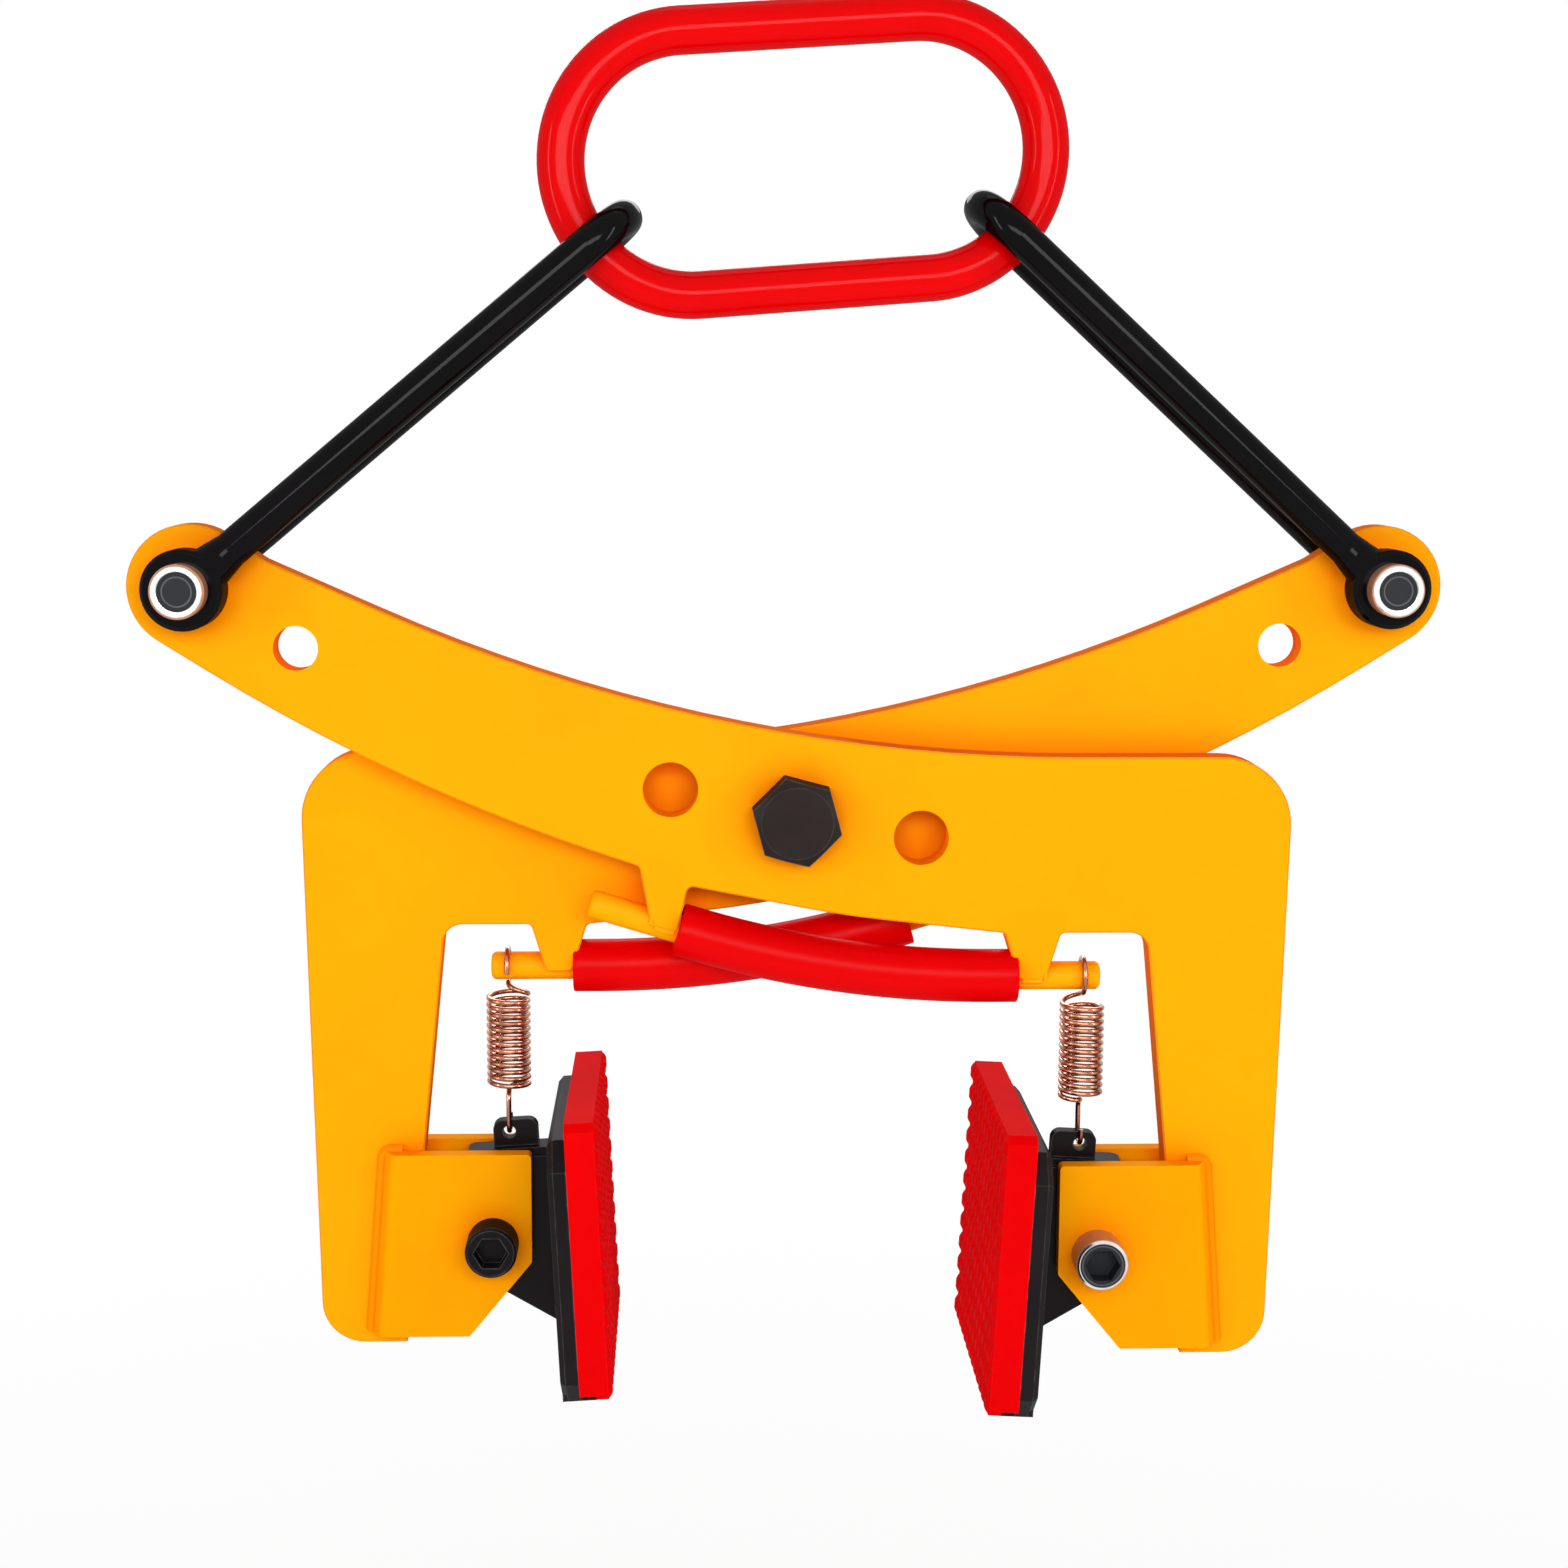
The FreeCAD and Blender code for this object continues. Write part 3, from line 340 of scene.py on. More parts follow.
def cheek_welds_mesh():
    """Beads round the foot of each cheek's flange: over its top and down its outer side."""
    bm = bmesh.new()
    lean = math.atan2(cheek_spread, cheek_bottom - cheek_top)
    for seat in (plate_face, plate_back):
        start = Matrix.Translation((cheek_weld_reach - cheek_weld_run, -seat, -cheek_top))
        edges = bead_start(bm, start @ Matrix.Rotation(math.pi / 2, 4, "Y"), cheek_weld_radius)
        end = draw_out(bm, edges, (cheek_weld_run - cheek_weld_bend, 0, 0))
        centre = (cheek_weld_reach - cheek_weld_bend, -seat, -cheek_top - cheek_weld_bend)
        end = turn_out(bm, end, centre, (0, 1, 0), math.pi / 2 - lean, weld_steps // 2)
        drop = cheek_bottom - cheek_top - cheek_weld_bend
        end = draw_out(bm, end, (drop * math.tan(lean), 0, -drop))
        bmesh.ops.contextual_create(bm, geom=end)
    return bm


# Shared shader groups
mask_samples = 6


def new_group(name, inputs, outputs):
    """An empty shader group with float inputs and value outputs."""
    tree = bpy.data.node_groups.new(name, "ShaderNodeTree")
    for label, value in inputs.items():
        socket = tree.interface.new_socket(name=label, in_out="INPUT", socket_type="NodeSocketFloat")
        socket.default_value = value
    for label in outputs:
        tree.interface.new_socket(name=label, in_out="OUTPUT", socket_type="NodeSocketFloat")
    return tree, tree.nodes.new("NodeGroupInput"), tree.nodes.new("NodeGroupOutput")


def add_math(tree, operation, first, second):
    """A math node fed by two sockets or plain numbers."""
    node = tree.nodes.new("ShaderNodeMath")
    node.operation = operation
    for index, value in enumerate((first, second)):
        if isinstance(value, (int, float)):
            node.inputs[index].default_value = value
        else:
            tree.links.new(value, node.inputs[index])
    return node.outputs["Value"]


def add_range(tree, value, low, high, to_low, to_high):
    """A clamped map of one value range to another."""
    node = tree.nodes.new("ShaderNodeMapRange")
    tree.links.new(value, node.inputs["Value"])
    numbers = {"From Min": low, "From Max": high, "To Min": to_low, "To Max": to_high}
    for label, number in numbers.items():
        node.inputs[label].default_value = number
    return node.outputs["Result"]


def add_noise(tree, scale, detail, roughness=0.5):
    """A noise on Object coordinates, its scale a socket or a number per metre."""
    place = tree.nodes.new("ShaderNodeTexCoord")
    node = tree.nodes.new("ShaderNodeTexNoise")
    tree.links.new(place.outputs["Object"], node.inputs["Vector"])
    if isinstance(scale, (int, float)):
        node.inputs["Scale"].default_value = scale
    else:
        tree.links.new(scale, node.inputs["Scale"])
    node.inputs["Detail"].default_value = detail
    node.inputs["Roughness"].default_value = roughness
    return node.outputs["Fac"]


def make_skin_group():
    """Fine grain of a coat or casting and slow changes of its tone."""
    tree, group_in, group_out = new_group(
        "skin_grain", {"Grain Scale": 900.0, "Mottle Scale": 18.0}, ("Grain", "Mottle")
    )
    grain = add_noise(tree, group_in.outputs["Grain Scale"], 3.0)
    mottle = add_noise(tree, group_in.outputs["Mottle Scale"], 5.0, 0.6)
    tree.links.new(grain, group_out.inputs["Grain"])
    tree.links.new(add_range(tree, mottle, 0.3, 0.7, 0.0, 1.0), group_out.inputs["Mottle"])
    return tree


def make_edge_wear_and_highlight_group():
    """A mask of edges, broken up where handling has not rubbed them; the lighter tone it carries is partly rubbed
    wear and partly painted highlight.
    """
    tree, group_in, group_out = new_group(
        "edge_wear_and_highlight_mask", {"Width": 1.2 * mm, "Break Scale": 160.0, "Full Turn": 0.86}, ("Edge",)
    )
    eased = tree.nodes.new("ShaderNodeBevel")
    eased.samples = mask_samples
    tree.links.new(group_in.outputs["Width"], eased.inputs["Radius"])
    plain = tree.nodes.new("ShaderNodeNewGeometry")
    product = tree.nodes.new("ShaderNodeVectorMath")
    product.operation = "DOT_PRODUCT"
    tree.links.new(eased.outputs["Normal"], product.inputs[0])
    tree.links.new(plain.outputs["Normal"], product.inputs[1])
    edge = add_range(tree, product.outputs["Value"], 0.985, 0.86, 0.0, 1.0)
    tree.links.new(group_in.outputs["Full Turn"], edge.node.inputs["From Max"])
    patches = add_noise(tree, group_in.outputs["Break Scale"], 4.0)
    broken = add_range(tree, patches, 0.35, 0.65, 0.25, 1.0)
    tree.links.new(add_math(tree, "MULTIPLY", edge, broken), group_out.inputs["Edge"])
    return tree


def make_side_group():
    """A mask of faces that look along the plate instead of out of it, where the plate coats put a redder, darker
    tone that is partly painted shade.
    """
    tree, _, group_out = new_group("cut_side", {}, ("Side",))
    place = tree.nodes.new("ShaderNodeTexCoord")
    parts = tree.nodes.new("ShaderNodeSeparateXYZ")
    tree.links.new(place.outputs["Normal"], parts.inputs["Vector"])
    flat = add_math(tree, "ABSOLUTE", parts.outputs["Y"], 0)
    tree.links.new(add_range(tree, flat, 0.85, 0.45, 0.0, 1.0), group_out.inputs["Side"])
    return tree


def make_corner_shade_group():
    """A mask of places that other faces stand close to, where a deeper orange is painted as shade."""
    tree, group_in, group_out = new_group("corner_shade_mask", {"Reach": 16.0 * mm}, ("Corner",))
    nearness = tree.nodes.new("ShaderNodeAmbientOcclusion")
    nearness.samples = mask_samples
    tree.links.new(group_in.outputs["Reach"], nearness.inputs["Distance"])
    corner = add_range(tree, nearness.outputs["AO"], 0.95, 0.45, 0.0, 1.0)
    tree.links.new(corner, group_out.inputs["Corner"])
    return tree


def make_round_group():
    """The distance from an upright-faced pin's or hole's middle line."""
    tree, group_in, group_out = new_group("round_place", {"Centre X": 0.0, "Centre Z": 0.0}, ("Radius",))
    place = tree.nodes.new("ShaderNodeTexCoord")
    parts = tree.nodes.new("ShaderNodeSeparateXYZ")
    tree.links.new(place.outputs["Object"], parts.inputs["Vector"])
    across = add_math(tree, "SUBTRACT", parts.outputs["X"], group_in.outputs["Centre X"])
    up = add_math(tree, "SUBTRACT", parts.outputs["Z"], group_in.outputs["Centre Z"])
    square = add_math(tree, "ADD", add_math(tree, "POWER", across, 2), add_math(tree, "POWER", up, 2))
    tree.links.new(add_math(tree, "SQRT", square, 0), group_out.inputs["Radius"])
    return tree


skin_group = make_skin_group()
edge_wear_and_highlight_group = make_edge_wear_and_highlight_group()
side_group = make_side_group()
corner_shade_group = make_corner_shade_group()
round_group = make_round_group()


# Materials
dark_disc = (0.012, 0.013, 0.016)
pale_line = (0.16, 0.17, 0.18)
bright_rim = (0.92, 0.90, 0.88)
coat_mottle_scale = 14.0
metal_mottle_scale = 60.0
pin_mottle_scale = 90.0
pin_grain_scale = 1400.0
pin_grain_depth = 0.05 * mm
pin_line_soft = 0.15 * mm
corner_reach = 16.0 * mm
edge_width = 1.0 * mm
edge_break_scale = 170.0


def new_material(name):
    """A material with an empty surface, its tree and its shader."""
    material = bpy.data.materials.new(name)
    material.use_nodes = True
    tree = material.node_tree
    return material, tree, tree.nodes["Principled BSDF"]


def add_group(tree, group, **values):
    """Places a shared group with its own values, where an underscore in a name is a space."""
    node = tree.nodes.new("ShaderNodeGroup")
    node.node_tree = group
    for label, value in values.items():
        node.inputs[label.replace("_", " ")].default_value = value
    return node


def add_mix(tree, mask, first, second):
    """A mix of two colours, each a socket or a plain colour."""
    node = tree.nodes.new("ShaderNodeMix")
    node.data_type = "RGBA"
    tree.links.new(mask, node.inputs["Factor"])
    for label, value in (("A", first), ("B", second)):
        socket = [item for item in node.inputs if item.name == label and item.type == "RGBA"][0]
        if isinstance(value, tuple):
            socket.default_value = value + (1.0,)
        else:
            tree.links.new(value, socket)
    return [item for item in node.outputs if item.type == "RGBA"][0]


def add_bump(tree, shader, height, strength, distance):
    """Feeds a height to the shader's normal."""
    node = tree.nodes.new("ShaderNodeBump")
    node.inputs["Strength"].default_value = strength
    node.inputs["Distance"].default_value = distance
    tree.links.new(height, node.inputs["Height"])
    for label in ("Normal", "Coat Normal"):
        tree.links.new(node.outputs["Normal"], shader.inputs[label])


def coat(
    name,
    tone,
    deep,
    edge_wear_and_highlight_tone,
    gloss,
    grain,
    edge_share=0.5,
    full_turn=0.86,
    shine=0.05,
    corner_shade_tone=None,
    cut_tone_and_shade=None,
    holes=(),
    hole_wall_light=None,
):
    """A painted or cast skin with slow tone changes, grain and lighter edges that are partly rubbed wear and
    partly painted highlight.

    Where they are given, corners take a deeper orange as painted shade, cut sides a redder, darker tone that is
    partly their thinner coat and partly painted shade, and the walls of round holes a brighter orange as painted
    light.
    """
    material, tree, shader = new_material(name)
    grain_scale, grain_depth = grain
    skin = add_group(tree, skin_group, Grain_Scale=grain_scale, Mottle_Scale=coat_mottle_scale)
    colour = add_mix(tree, skin.outputs["Mottle"], tone, deep)
    shader.inputs["Coat Weight"].default_value = shine
    # Cut sides turn redder and darker: partly a thinner coat on the cut edges, partly painted shade
    if cut_tone_and_shade:
        side = add_group(tree, side_group)
        colour = add_mix(tree, side.outputs["Side"], colour, cut_tone_and_shade)
        face_shine = add_range(tree, side.outputs["Side"], 0.0, 1.0, shine, 0.0)
        tree.links.new(face_shine, shader.inputs["Coat Weight"])
    # Painted light: the walls of the spare holes turn a brighter orange than the other cut sides
    for across, up in holes:
        near = add_group(tree, round_group, Centre_X=pivot.x + across, Centre_Z=pivot.z + up)
        wall_end = spare_hole_radius + spare_hole_edge
        wall = add_range(tree, near.outputs["Radius"], spare_hole_radius, wall_end, 1.0, 0.0)
        colour = add_mix(tree, wall, colour, hole_wall_light)
    # Painted shade: corners and recesses turn a deeper orange
    if corner_shade_tone:
        corner = add_group(tree, corner_shade_group, Reach=corner_reach)
        colour = add_mix(tree, corner.outputs["Corner"], colour, corner_shade_tone)
    edge = add_group(
        tree, edge_wear_and_highlight_group, Width=edge_width, Break_Scale=edge_break_scale, Full_Turn=full_turn
    )
    # Edges turn lighter: partly rubbed wear, partly painted highlight
    rub = add_math(tree, "MULTIPLY", edge.outputs["Edge"], edge_share)
    tree.links.new(add_mix(tree, rub, colour, edge_wear_and_highlight_tone), shader.inputs["Base Color"])
    tree.links.new(
        add_range(tree, skin.outputs["Mottle"], 0.0, 1.0, gloss[0], gloss[1]), shader.inputs["Roughness"]
    )
    add_bump(tree, shader, skin.outputs["Grain"], 0.35, grain_depth)
    shader.inputs["Specular IOR Level"].default_value = 0.0
    shader.inputs["Coat Roughness"].default_value = gloss[0]
    return material


def bare_metal(name, tone, deep, gloss, grain):
    """Plated or turned metal with a fine tooth and uneven lustre."""
    material, tree, shader = new_material(name)
    grain_scale, grain_depth = grain
    skin = add_group(tree, skin_group, Grain_Scale=grain_scale, Mottle_Scale=metal_mottle_scale)
    tree.links.new(add_mix(tree, skin.outputs["Mottle"], tone, deep), shader.inputs["Base Color"])
    tree.links.new(
        add_range(tree, skin.outputs["Mottle"], 0.0, 1.0, gloss[0], gloss[1]), shader.inputs["Roughness"]
    )
    shader.inputs["Metallic"].default_value = 1.0
    add_bump(tree, shader, skin.outputs["Grain"], 0.25, grain_depth)
    return material


def pin_metal(name, centre, disc_radius, rim_radius, line_radius, side_reflection_tone):
    """A round head whose face is a dark disc with one turned line, in a bright rim, with its sides toned coppery
    as a painted reflection of the amber plates.
    """
    material, tree, shader = new_material(name)
    skin = add_group(tree, skin_group, Grain_Scale=pin_grain_scale, Mottle_Scale=pin_mottle_scale)
    radius = add_group(tree, round_group, Centre_X=centre[0], Centre_Z=centre[2]).outputs["Radius"]
    soft = pin_line_soft
    disc = add_range(tree, radius, disc_radius - soft, disc_radius + soft, 1.0, 0.0)
    side = add_range(tree, radius, rim_radius - soft, rim_radius + soft, 0.0, 1.0)
    from_line = add_math(tree, "ABSOLUTE", add_math(tree, "SUBTRACT", radius, line_radius), 0)
    line = add_range(tree, from_line, soft, 3 * soft, 0.6, 0.0)
    face = add_mix(tree, line, dark_disc, pale_line)
    # Painted reflection: the head's sides take a coppery tone for the amber plates around them
    colour = add_mix(tree, side, bright_rim, side_reflection_tone)
    colour = add_mix(tree, disc, colour, face)
    stain = add_range(tree, skin.outputs["Mottle"], 0.0, 1.0, 0.0, 0.3)
    tree.links.new(add_mix(tree, stain, colour, dark_disc), shader.inputs["Base Color"])
    painted = add_math(tree, "MAXIMUM", disc, add_math(tree, "MULTIPLY", side, 0.7))
    tree.links.new(add_range(tree, painted, 0.0, 1.0, 1.0, 0.0), shader.inputs["Metallic"])
    tree.links.new(add_range(tree, disc, 0.0, 1.0, 0.24, 0.5), shader.inputs["Roughness"])
    shader.inputs["Specular IOR Level"].default_value = 0.2
    add_bump(tree, shader, skin.outputs["Grain"], 0.2, pin_grain_depth)
    return material


amber = (0.97, 0.392, 0.001)
amber_deep = (0.93, 0.365, 0.001)
# Lighter amber for edges: partly rubbed wear, partly painted highlight
amber_wear_and_highlight = (1.0, 0.48, 0.01)
amber_gloss = (0.42, 0.52)
plate_grain = (1300.0, 0.05 * mm)
# Redder, darker tone of the cut sides: partly a thinner coat, partly painted shade
plate_cut_and_shade = (0.9, 0.18, 0.02)
# Painted shade: the deeper orange mixed into corners and recesses
painted_corner_shade = (1.0, 0.22, 0.0)
# Lighter red for edges: partly rubbed wear, partly painted highlight
red_wear_and_highlight = (0.78, 0.006, 0.008)
amber_plate = coat(
    "amber_plate_coat",
    tone=amber,
    deep=amber_deep,
    edge_wear_and_highlight_tone=amber_wear_and_highlight,
    gloss=amber_gloss,
    grain=plate_grain,
    corner_shade_tone=painted_corner_shade,
    cut_tone_and_shade=plate_cut_and_shade,
)
amber_front = coat(
    "amber_front_coat",
    tone=amber,
    deep=amber_deep,
    edge_wear_and_highlight_tone=amber_wear_and_highlight,
    gloss=amber_gloss,
    grain=plate_grain,
    corner_shade_tone=painted_corner_shade,
    cut_tone_and_shade=plate_cut_and_shade,
    holes=spare_holes,
    # Painted light on the walls of the spare holes
    hole_wall_light=(1.0, 0.3, 0.002),
)
amber_cheek = coat(
    "amber_cheek_coat",
    tone=(0.97, 0.37, 0.0),
    deep=(0.93, 0.335, 0.0),
    edge_wear_and_highlight_tone=(1.0, 0.46, 0.01),
    gloss=amber_gloss,
    grain=plate_grain,
    corner_shade_tone=painted_corner_shade,
)
amber_rod = coat(
    "amber_rod_coat",
    tone=(0.97, 0.42, 0.001),
    deep=amber_deep,
    edge_wear_and_highlight_tone=(1.0, 0.5, 0.012),
    gloss=(0.36, 0.46),
    grain=plate_grain,
    shine=0.08,
    corner_shade_tone=painted_corner_shade,
)
# Painted shade: the weld beads take a deeper orange than the plates, for the shade along the cheeks' bends
weld_shade_amber = coat(
    "amber_weld_coat",
    tone=(0.98, 0.29, 0.0),
    deep=(0.94, 0.25, 0.0),
    edge_wear_and_highlight_tone=(1.0, 0.36, 0.004),
    gloss=amber_gloss,
    grain=(700.0, 0.12 * mm),
    corner_shade_tone=painted_corner_shade,
)
ring_red = coat(
    "ring_gloss_red",
    tone=(0.75, 0.0, 0.001),
    deep=(0.68, 0.0, 0.001),
    edge_wear_and_highlight_tone=red_wear_and_highlight,
    gloss=(0.12, 0.18),
    grain=(700.0, 0.04 * mm),
    edge_share=0.2,
    shine=0.12,
)
link_black = coat(
    "link_gloss_black",
    tone=(0.001, 0.001, 0.001),
    deep=(0.003, 0.002, 0.003),
    edge_wear_and_highlight_tone=(0.04, 0.036, 0.036),
    gloss=(0.07, 0.13),
    grain=(600.0, 0.05 * mm),
    edge_share=0.35,
    shine=0.17,
)
carrier_black = coat(
    "carrier_cast_black",
    tone=(0.005, 0.0035, 0.004),
    deep=(0.012, 0.008, 0.009),
    edge_wear_and_highlight_tone=(0.12, 0.11, 0.105),
    gloss=(0.28, 0.42),
    grain=(420.0, 0.22 * mm),
    edge_share=0.9,
    shine=0.2,
)
oxide_grain = (1000.0, 0.06 * mm)
oxide_black = coat(
    "oxide_black",
    tone=(0.016, 0.0115, 0.0105),
    deep=(0.03, 0.021, 0.019),
    edge_wear_and_highlight_tone=(0.13, 0.13, 0.13),
    gloss=(0.36, 0.5),
    grain=oxide_grain,
    edge_share=0.8,
    # The edge mask also takes the head's shallow chamfer, painting a highlight along it
    full_turn=0.955,
    shine=0.17,
)
bolt_black = coat(
    "bolt_oxide_black",
    tone=(0.003, 0.0025, 0.003),
    deep=(0.008, 0.006, 0.007),
    edge_wear_and_highlight_tone=(0.1, 0.09, 0.09),
    gloss=(0.26, 0.38),
    grain=oxide_grain,
    edge_share=0.8,
    # The edge mask also takes the head's shallow chamfer, painting a highlight along it
    full_turn=0.955,
    shine=0.2,
)
sleeve_red = coat(
    "sleeve_satin_red",
    tone=(0.74, 0.0, 0.001),
    deep=(0.66, 0.0, 0.001),
    edge_wear_and_highlight_tone=red_wear_and_highlight,
    gloss=(0.3, 0.4),
    grain=(800.0, 0.05 * mm),
    edge_share=0.2,
    shine=0.1,
)
pad_red = coat(
    "pad_moulded_red",
    tone=(0.76, 0.0, 0.001),
    deep=(0.68, 0.0, 0.001),
    edge_wear_and_highlight_tone=(0.86, 0.02, 0.02),
    gloss=(0.4, 0.52),
    grain=(600.0, 0.06 * mm),
    edge_share=0.3,
)
pad_crown = coat(
    "pad_crown_red",
    tone=(0.72, 0.012, 0.016),
    deep=(0.58, 0.009, 0.012),
    edge_wear_and_highlight_tone=(0.78, 0.05, 0.05),
    gloss=(0.5, 0.65),
    grain=(500.0, 0.1 * mm),
    edge_share=0.3,
)
metal_grain = (900.0, 0.05 * mm)
zinc = bare_metal(
    "zinc_plate",
    tone=(0.66, 0.66, 0.67),
    deep=(0.46, 0.46, 0.47),
    gloss=(0.26, 0.42),
    grain=metal_grain,
)
bronze = bare_metal(
    "turned_bronze",
    tone=(0.56, 0.37, 0.16),
    deep=(0.40, 0.25, 0.10),
    gloss=(0.28, 0.42),
    grain=metal_grain,
)
copper = bare_metal(
    "coppered_wire",
    tone=(0.6, 0.28, 0.17),
    deep=(0.26, 0.1, 0.06),
    gloss=(0.16, 0.28),
    grain=(700.0, 0.04 * mm),
)

# Each bright-rimmed bolt's place, and the radii of its dark disc, its rim and its turned line
# Painted reflection of the amber plates on the bolt heads' sides
amber_reflection_tone = (0.62, 0.28, 0.16)
pin_places = {
    "front_link_bolt": (joints["front_eye"]["pos_m"], 8.8 * mm, 11.1 * mm, 6.4 * mm),
    "rear_link_bolt": (joints["rear_eye"]["pos_m"], 8.8 * mm, 11.4 * mm, 6.4 * mm),
    "front_pad_bolt": (joints["front_pad_swing"]["pos_m"], 10.4 * mm, 11.7 * mm, 9.2 * mm),
}
pin_materials = {}
for node, (place, disc_radius, rim_radius, line_radius) in pin_places.items():
    pin_materials[node] = pin_metal(
        node + "_metal", place, disc_radius, rim_radius, line_radius, amber_reflection_tone
    )

slot_materials = {
    "amber_paint": amber_plate,
    "red_paint": ring_red,
    "black_paint": link_black,
    "black_cast": carrier_black,
    "black_oxide": oxide_black,
    "zinc_steel": zinc,
    "bronze": bronze,
    "red_rubber": pad_red,
    "copper_wire": copper,
}
for part in frame["record"]["subparts"]:
    node = part["node"]
    material = pin_materials.get(node, slot_materials[part["material_slot"]])
    if node == "front_arm_plate":
        material = amber_front
    if node == "rear_pad_bolt":
        material = bolt_black
    if node.endswith("cheek"):
        material = amber_cheek
    if node.endswith("buffer_rod"):
        material = amber_rod
    for slot in frame["nodes"][node].material_slots:
        slot.material = material

# New pieces on both sides
for side in sides:
    arm = side + "_arm"
    pad_body = side + "_pad"

    spring = finish_mesh(spring_mesh(), side + "_spring_wire", side)
    spring.data.materials.append(copper)
    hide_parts(side + "_spring")
    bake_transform(spring)

    sleeve = finish_mesh(sleeve_mesh(), side + "_sleeve_hose", side)
    sleeve.data.materials.append(sleeve_red)
    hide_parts(side + "_buffer_sleeve")
    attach(sleeve, arm)

    pad = finish_mesh(pad_mesh(), side + "_pad_moulding", side)
    pad.data.materials.append(pad_red)
    pad.data.materials.append(pad_crown)
    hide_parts(side + "_grip_pad")
    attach(pad, pad_body)

    welds = finish_mesh(rod_welds_mesh(), side + "_rod_welds", side)
    welds.data.materials.append(amber_rod)
    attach(welds, arm)

    beads = finish_mesh(cheek_welds_mesh(), side + "_cheek_welds", side)
    beads.data.materials.append(weld_shade_amber)
    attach(beads, arm)


# Floor, light and camera
def white_to_camera(tree, shader_socket, share):
    """Mixes a lit surface with plain white where the view or a reflection meets it."""
    light_path = tree.nodes.new("ShaderNodeLightPath")
    seen = light_path.outputs["Is Camera Ray"]
    for ray in ("Is Glossy Ray", "Is Transmission Ray"):
        seen = add_math(tree, "MAXIMUM", seen, light_path.outputs[ray])
    white = tree.nodes.new("ShaderNodeEmission")
    white.inputs["Color"].default_value = (1.0, 1.0, 1.0, 1.0)
    white.inputs["Strength"].default_value = 1.0
    mix = tree.nodes.new("ShaderNodeMixShader")
    tree.links.new(add_math(tree, "MULTIPLY", seen, share), mix.inputs["Fac"])
    tree.links.new(shader_socket, mix.inputs[1])
    tree.links.new(white.outputs["Emission"], mix.inputs[2])
    return mix.outputs["Shader"]


floor_drop = 0.27
floor_half = 6.0
floor_tone = 0.86
floor_roughness = 0.9
shadow_from = 0.3
shadow_to = 1.1
shadow_white_share = 0.82
bm = bmesh.new()
floor_place = Matrix.Translation((0, 0, cad_box[0][2] - floor_drop))
bmesh.ops.create_grid(bm, x_segments=1, y_segments=1, size=floor_half, matrix=floor_place)
floor_mesh = bpy.data.meshes.new("floor")
bm.to_mesh(floor_mesh)
bm.free()
floor = bpy.data.objects.new("floor", floor_mesh)
bpy.context.scene.collection.objects.link(floor)
floor_material, floor_tree, floor_shader = new_material("floor_white")
floor_shader.inputs["Base Color"].default_value = (floor_tone, floor_tone, floor_tone, 1.0)
floor_shader.inputs["Roughness"].default_value = floor_roughness
floor_shader.inputs["Specular IOR Level"].default_value = 0.0
floor_spot = floor_tree.nodes.new("ShaderNodeTexCoord")
floor_away = floor_tree.nodes.new("ShaderNodeVectorMath")
floor_away.operation = "LENGTH"
floor_level = floor_tree.nodes.new("ShaderNodeMapping")
floor_level.inputs["Scale"].default_value = (1.0, 1.0, 0.0)
floor_tree.links.new(floor_spot.outputs["Object"], floor_level.inputs["Vector"])
floor_tree.links.new(floor_level.outputs["Vector"], floor_away.inputs[0])
floor_distance = floor_away.outputs["Value"]
floor_share = add_range(floor_tree, floor_distance, shadow_from, shadow_to, shadow_white_share, 1.0)
floor_surface = white_to_camera(floor_tree, floor_shader.outputs["BSDF"], floor_share)
floor_tree.links.new(floor_surface, floor_tree.nodes["Material Output"].inputs["Surface"])
floor_mesh.materials.append(floor_material)

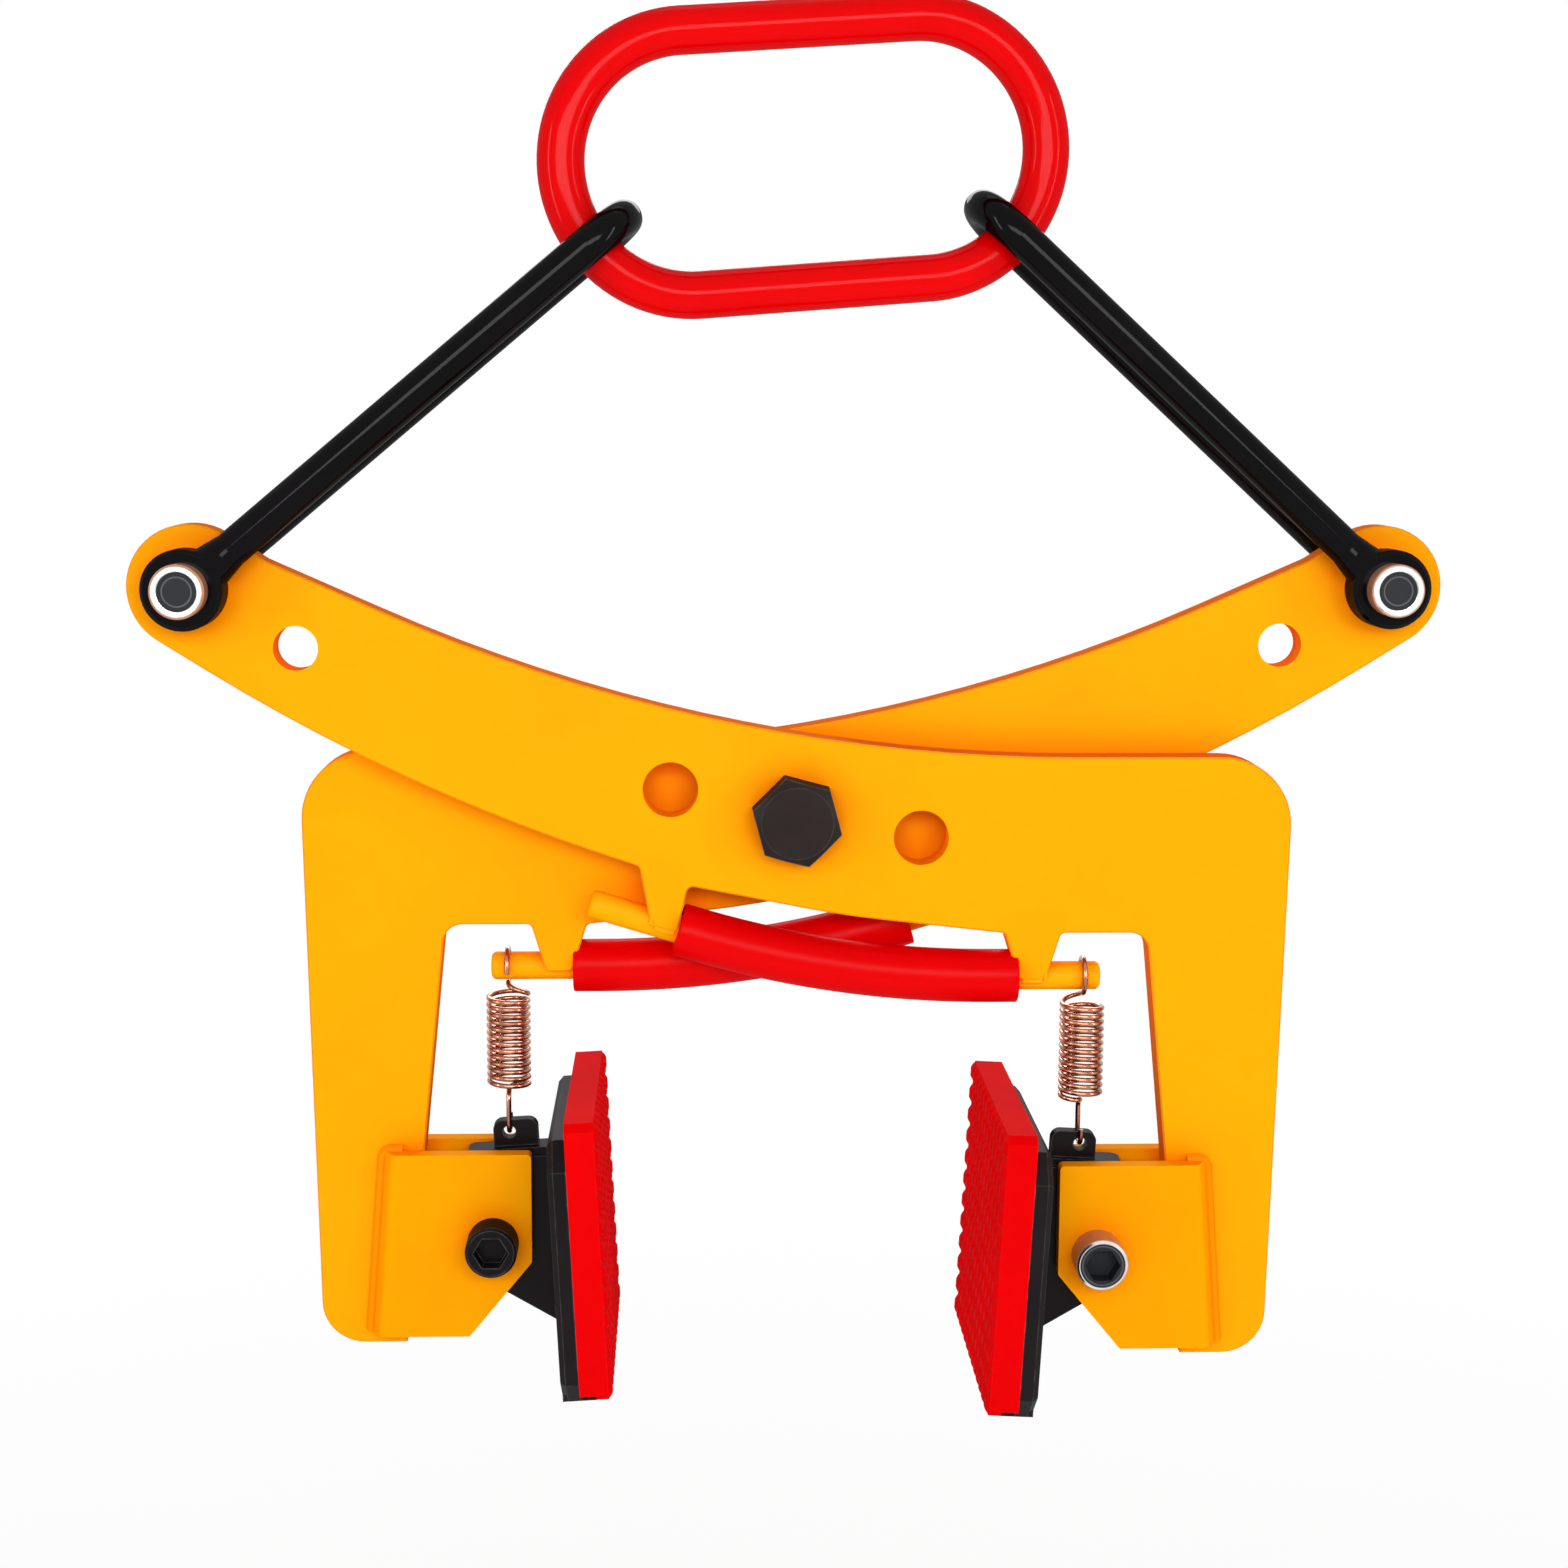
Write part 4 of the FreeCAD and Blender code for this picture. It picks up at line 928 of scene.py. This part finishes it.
world_light = 0.3
world = bpy.data.worlds.new("studio")
world.use_nodes = True
bpy.context.scene.world = world
world_tree = world.node_tree
soft_light = world_tree.nodes["Background"]
soft_light.inputs["Color"].default_value = (1.0, 1.0, 1.0, 1.0)
soft_light.inputs["Strength"].default_value = world_light
backdrop = white_to_camera(world_tree, soft_light.outputs["Background"], 1.0)
world_tree.links.new(backdrop, world_tree.nodes["World Output"].inputs["Surface"])


def area_lamp(name, place, size, power):
    """A soft lamp of a width and height that looks at the pivot."""
    data = bpy.data.lights.new(name, "AREA")
    data.shape = "RECTANGLE"
    data.size, data.size_y = size
    data.energy = power
    lamp = bpy.data.objects.new(name, data)
    lamp.location = place
    lamp.rotation_euler = (pivot - Vector(place)).to_track_quat("-Z", "Y").to_euler()
    bpy.context.scene.collection.objects.link(lamp)


# Each lamp's place, its width and height in metres, and its power in watts
lamps = {
    "key_lamp": ((0.05, -1.75, 0.15), (1.7, 0.5), 21.5),
    "left_strip": ((-1.5, -0.9, -0.1), (0.16, 1.2), 7.0),
    "right_strip": ((1.5, -0.9, -0.1), (0.16, 1.2), 7.0),
    "back_lamp": ((0.0, 1.75, 0.6), (1.7, 0.5), 22.0),
    "top_lamp": ((0.2, 0.5, 1.4), (0.9, 0.6), 2.0),
}
for name, (place, size, power) in lamps.items():
    area_lamp(name, place, size, power)

camera_place = Vector((-49.9, -1150.5, 182.2)) * mm
camera_pitch = 0.145903
camera_yaw = 0.039094
camera_roll = 0.005073
camera_lens = 58.12
camera_sensor = 36.0
ahead = Vector(
    (
        math.sin(camera_yaw) * math.cos(camera_pitch),
        math.cos(camera_yaw) * math.cos(camera_pitch),
        -math.sin(camera_pitch),
    )
)
right = Vector((math.cos(camera_yaw), -math.sin(camera_yaw), 0))
up = right.cross(ahead)
rolled_right = right * math.cos(camera_roll) + up * math.sin(camera_roll)
rolled_up = up * math.cos(camera_roll) - right * math.sin(camera_roll)
camera_data = bpy.data.cameras.new("photo_camera")
camera_data.lens = camera_lens
camera_data.sensor_width = camera_sensor
camera = bpy.data.objects.new("photo_camera", camera_data)
turn = Matrix((rolled_right, rolled_up, -ahead)).transposed()
camera.matrix_world = Matrix.Translation(pivot + camera_place) @ turn.to_4x4()
bpy.context.scene.collection.objects.link(camera)
bpy.context.scene.camera = camera
bpy.context.scene.view_settings.view_transform = "Standard"
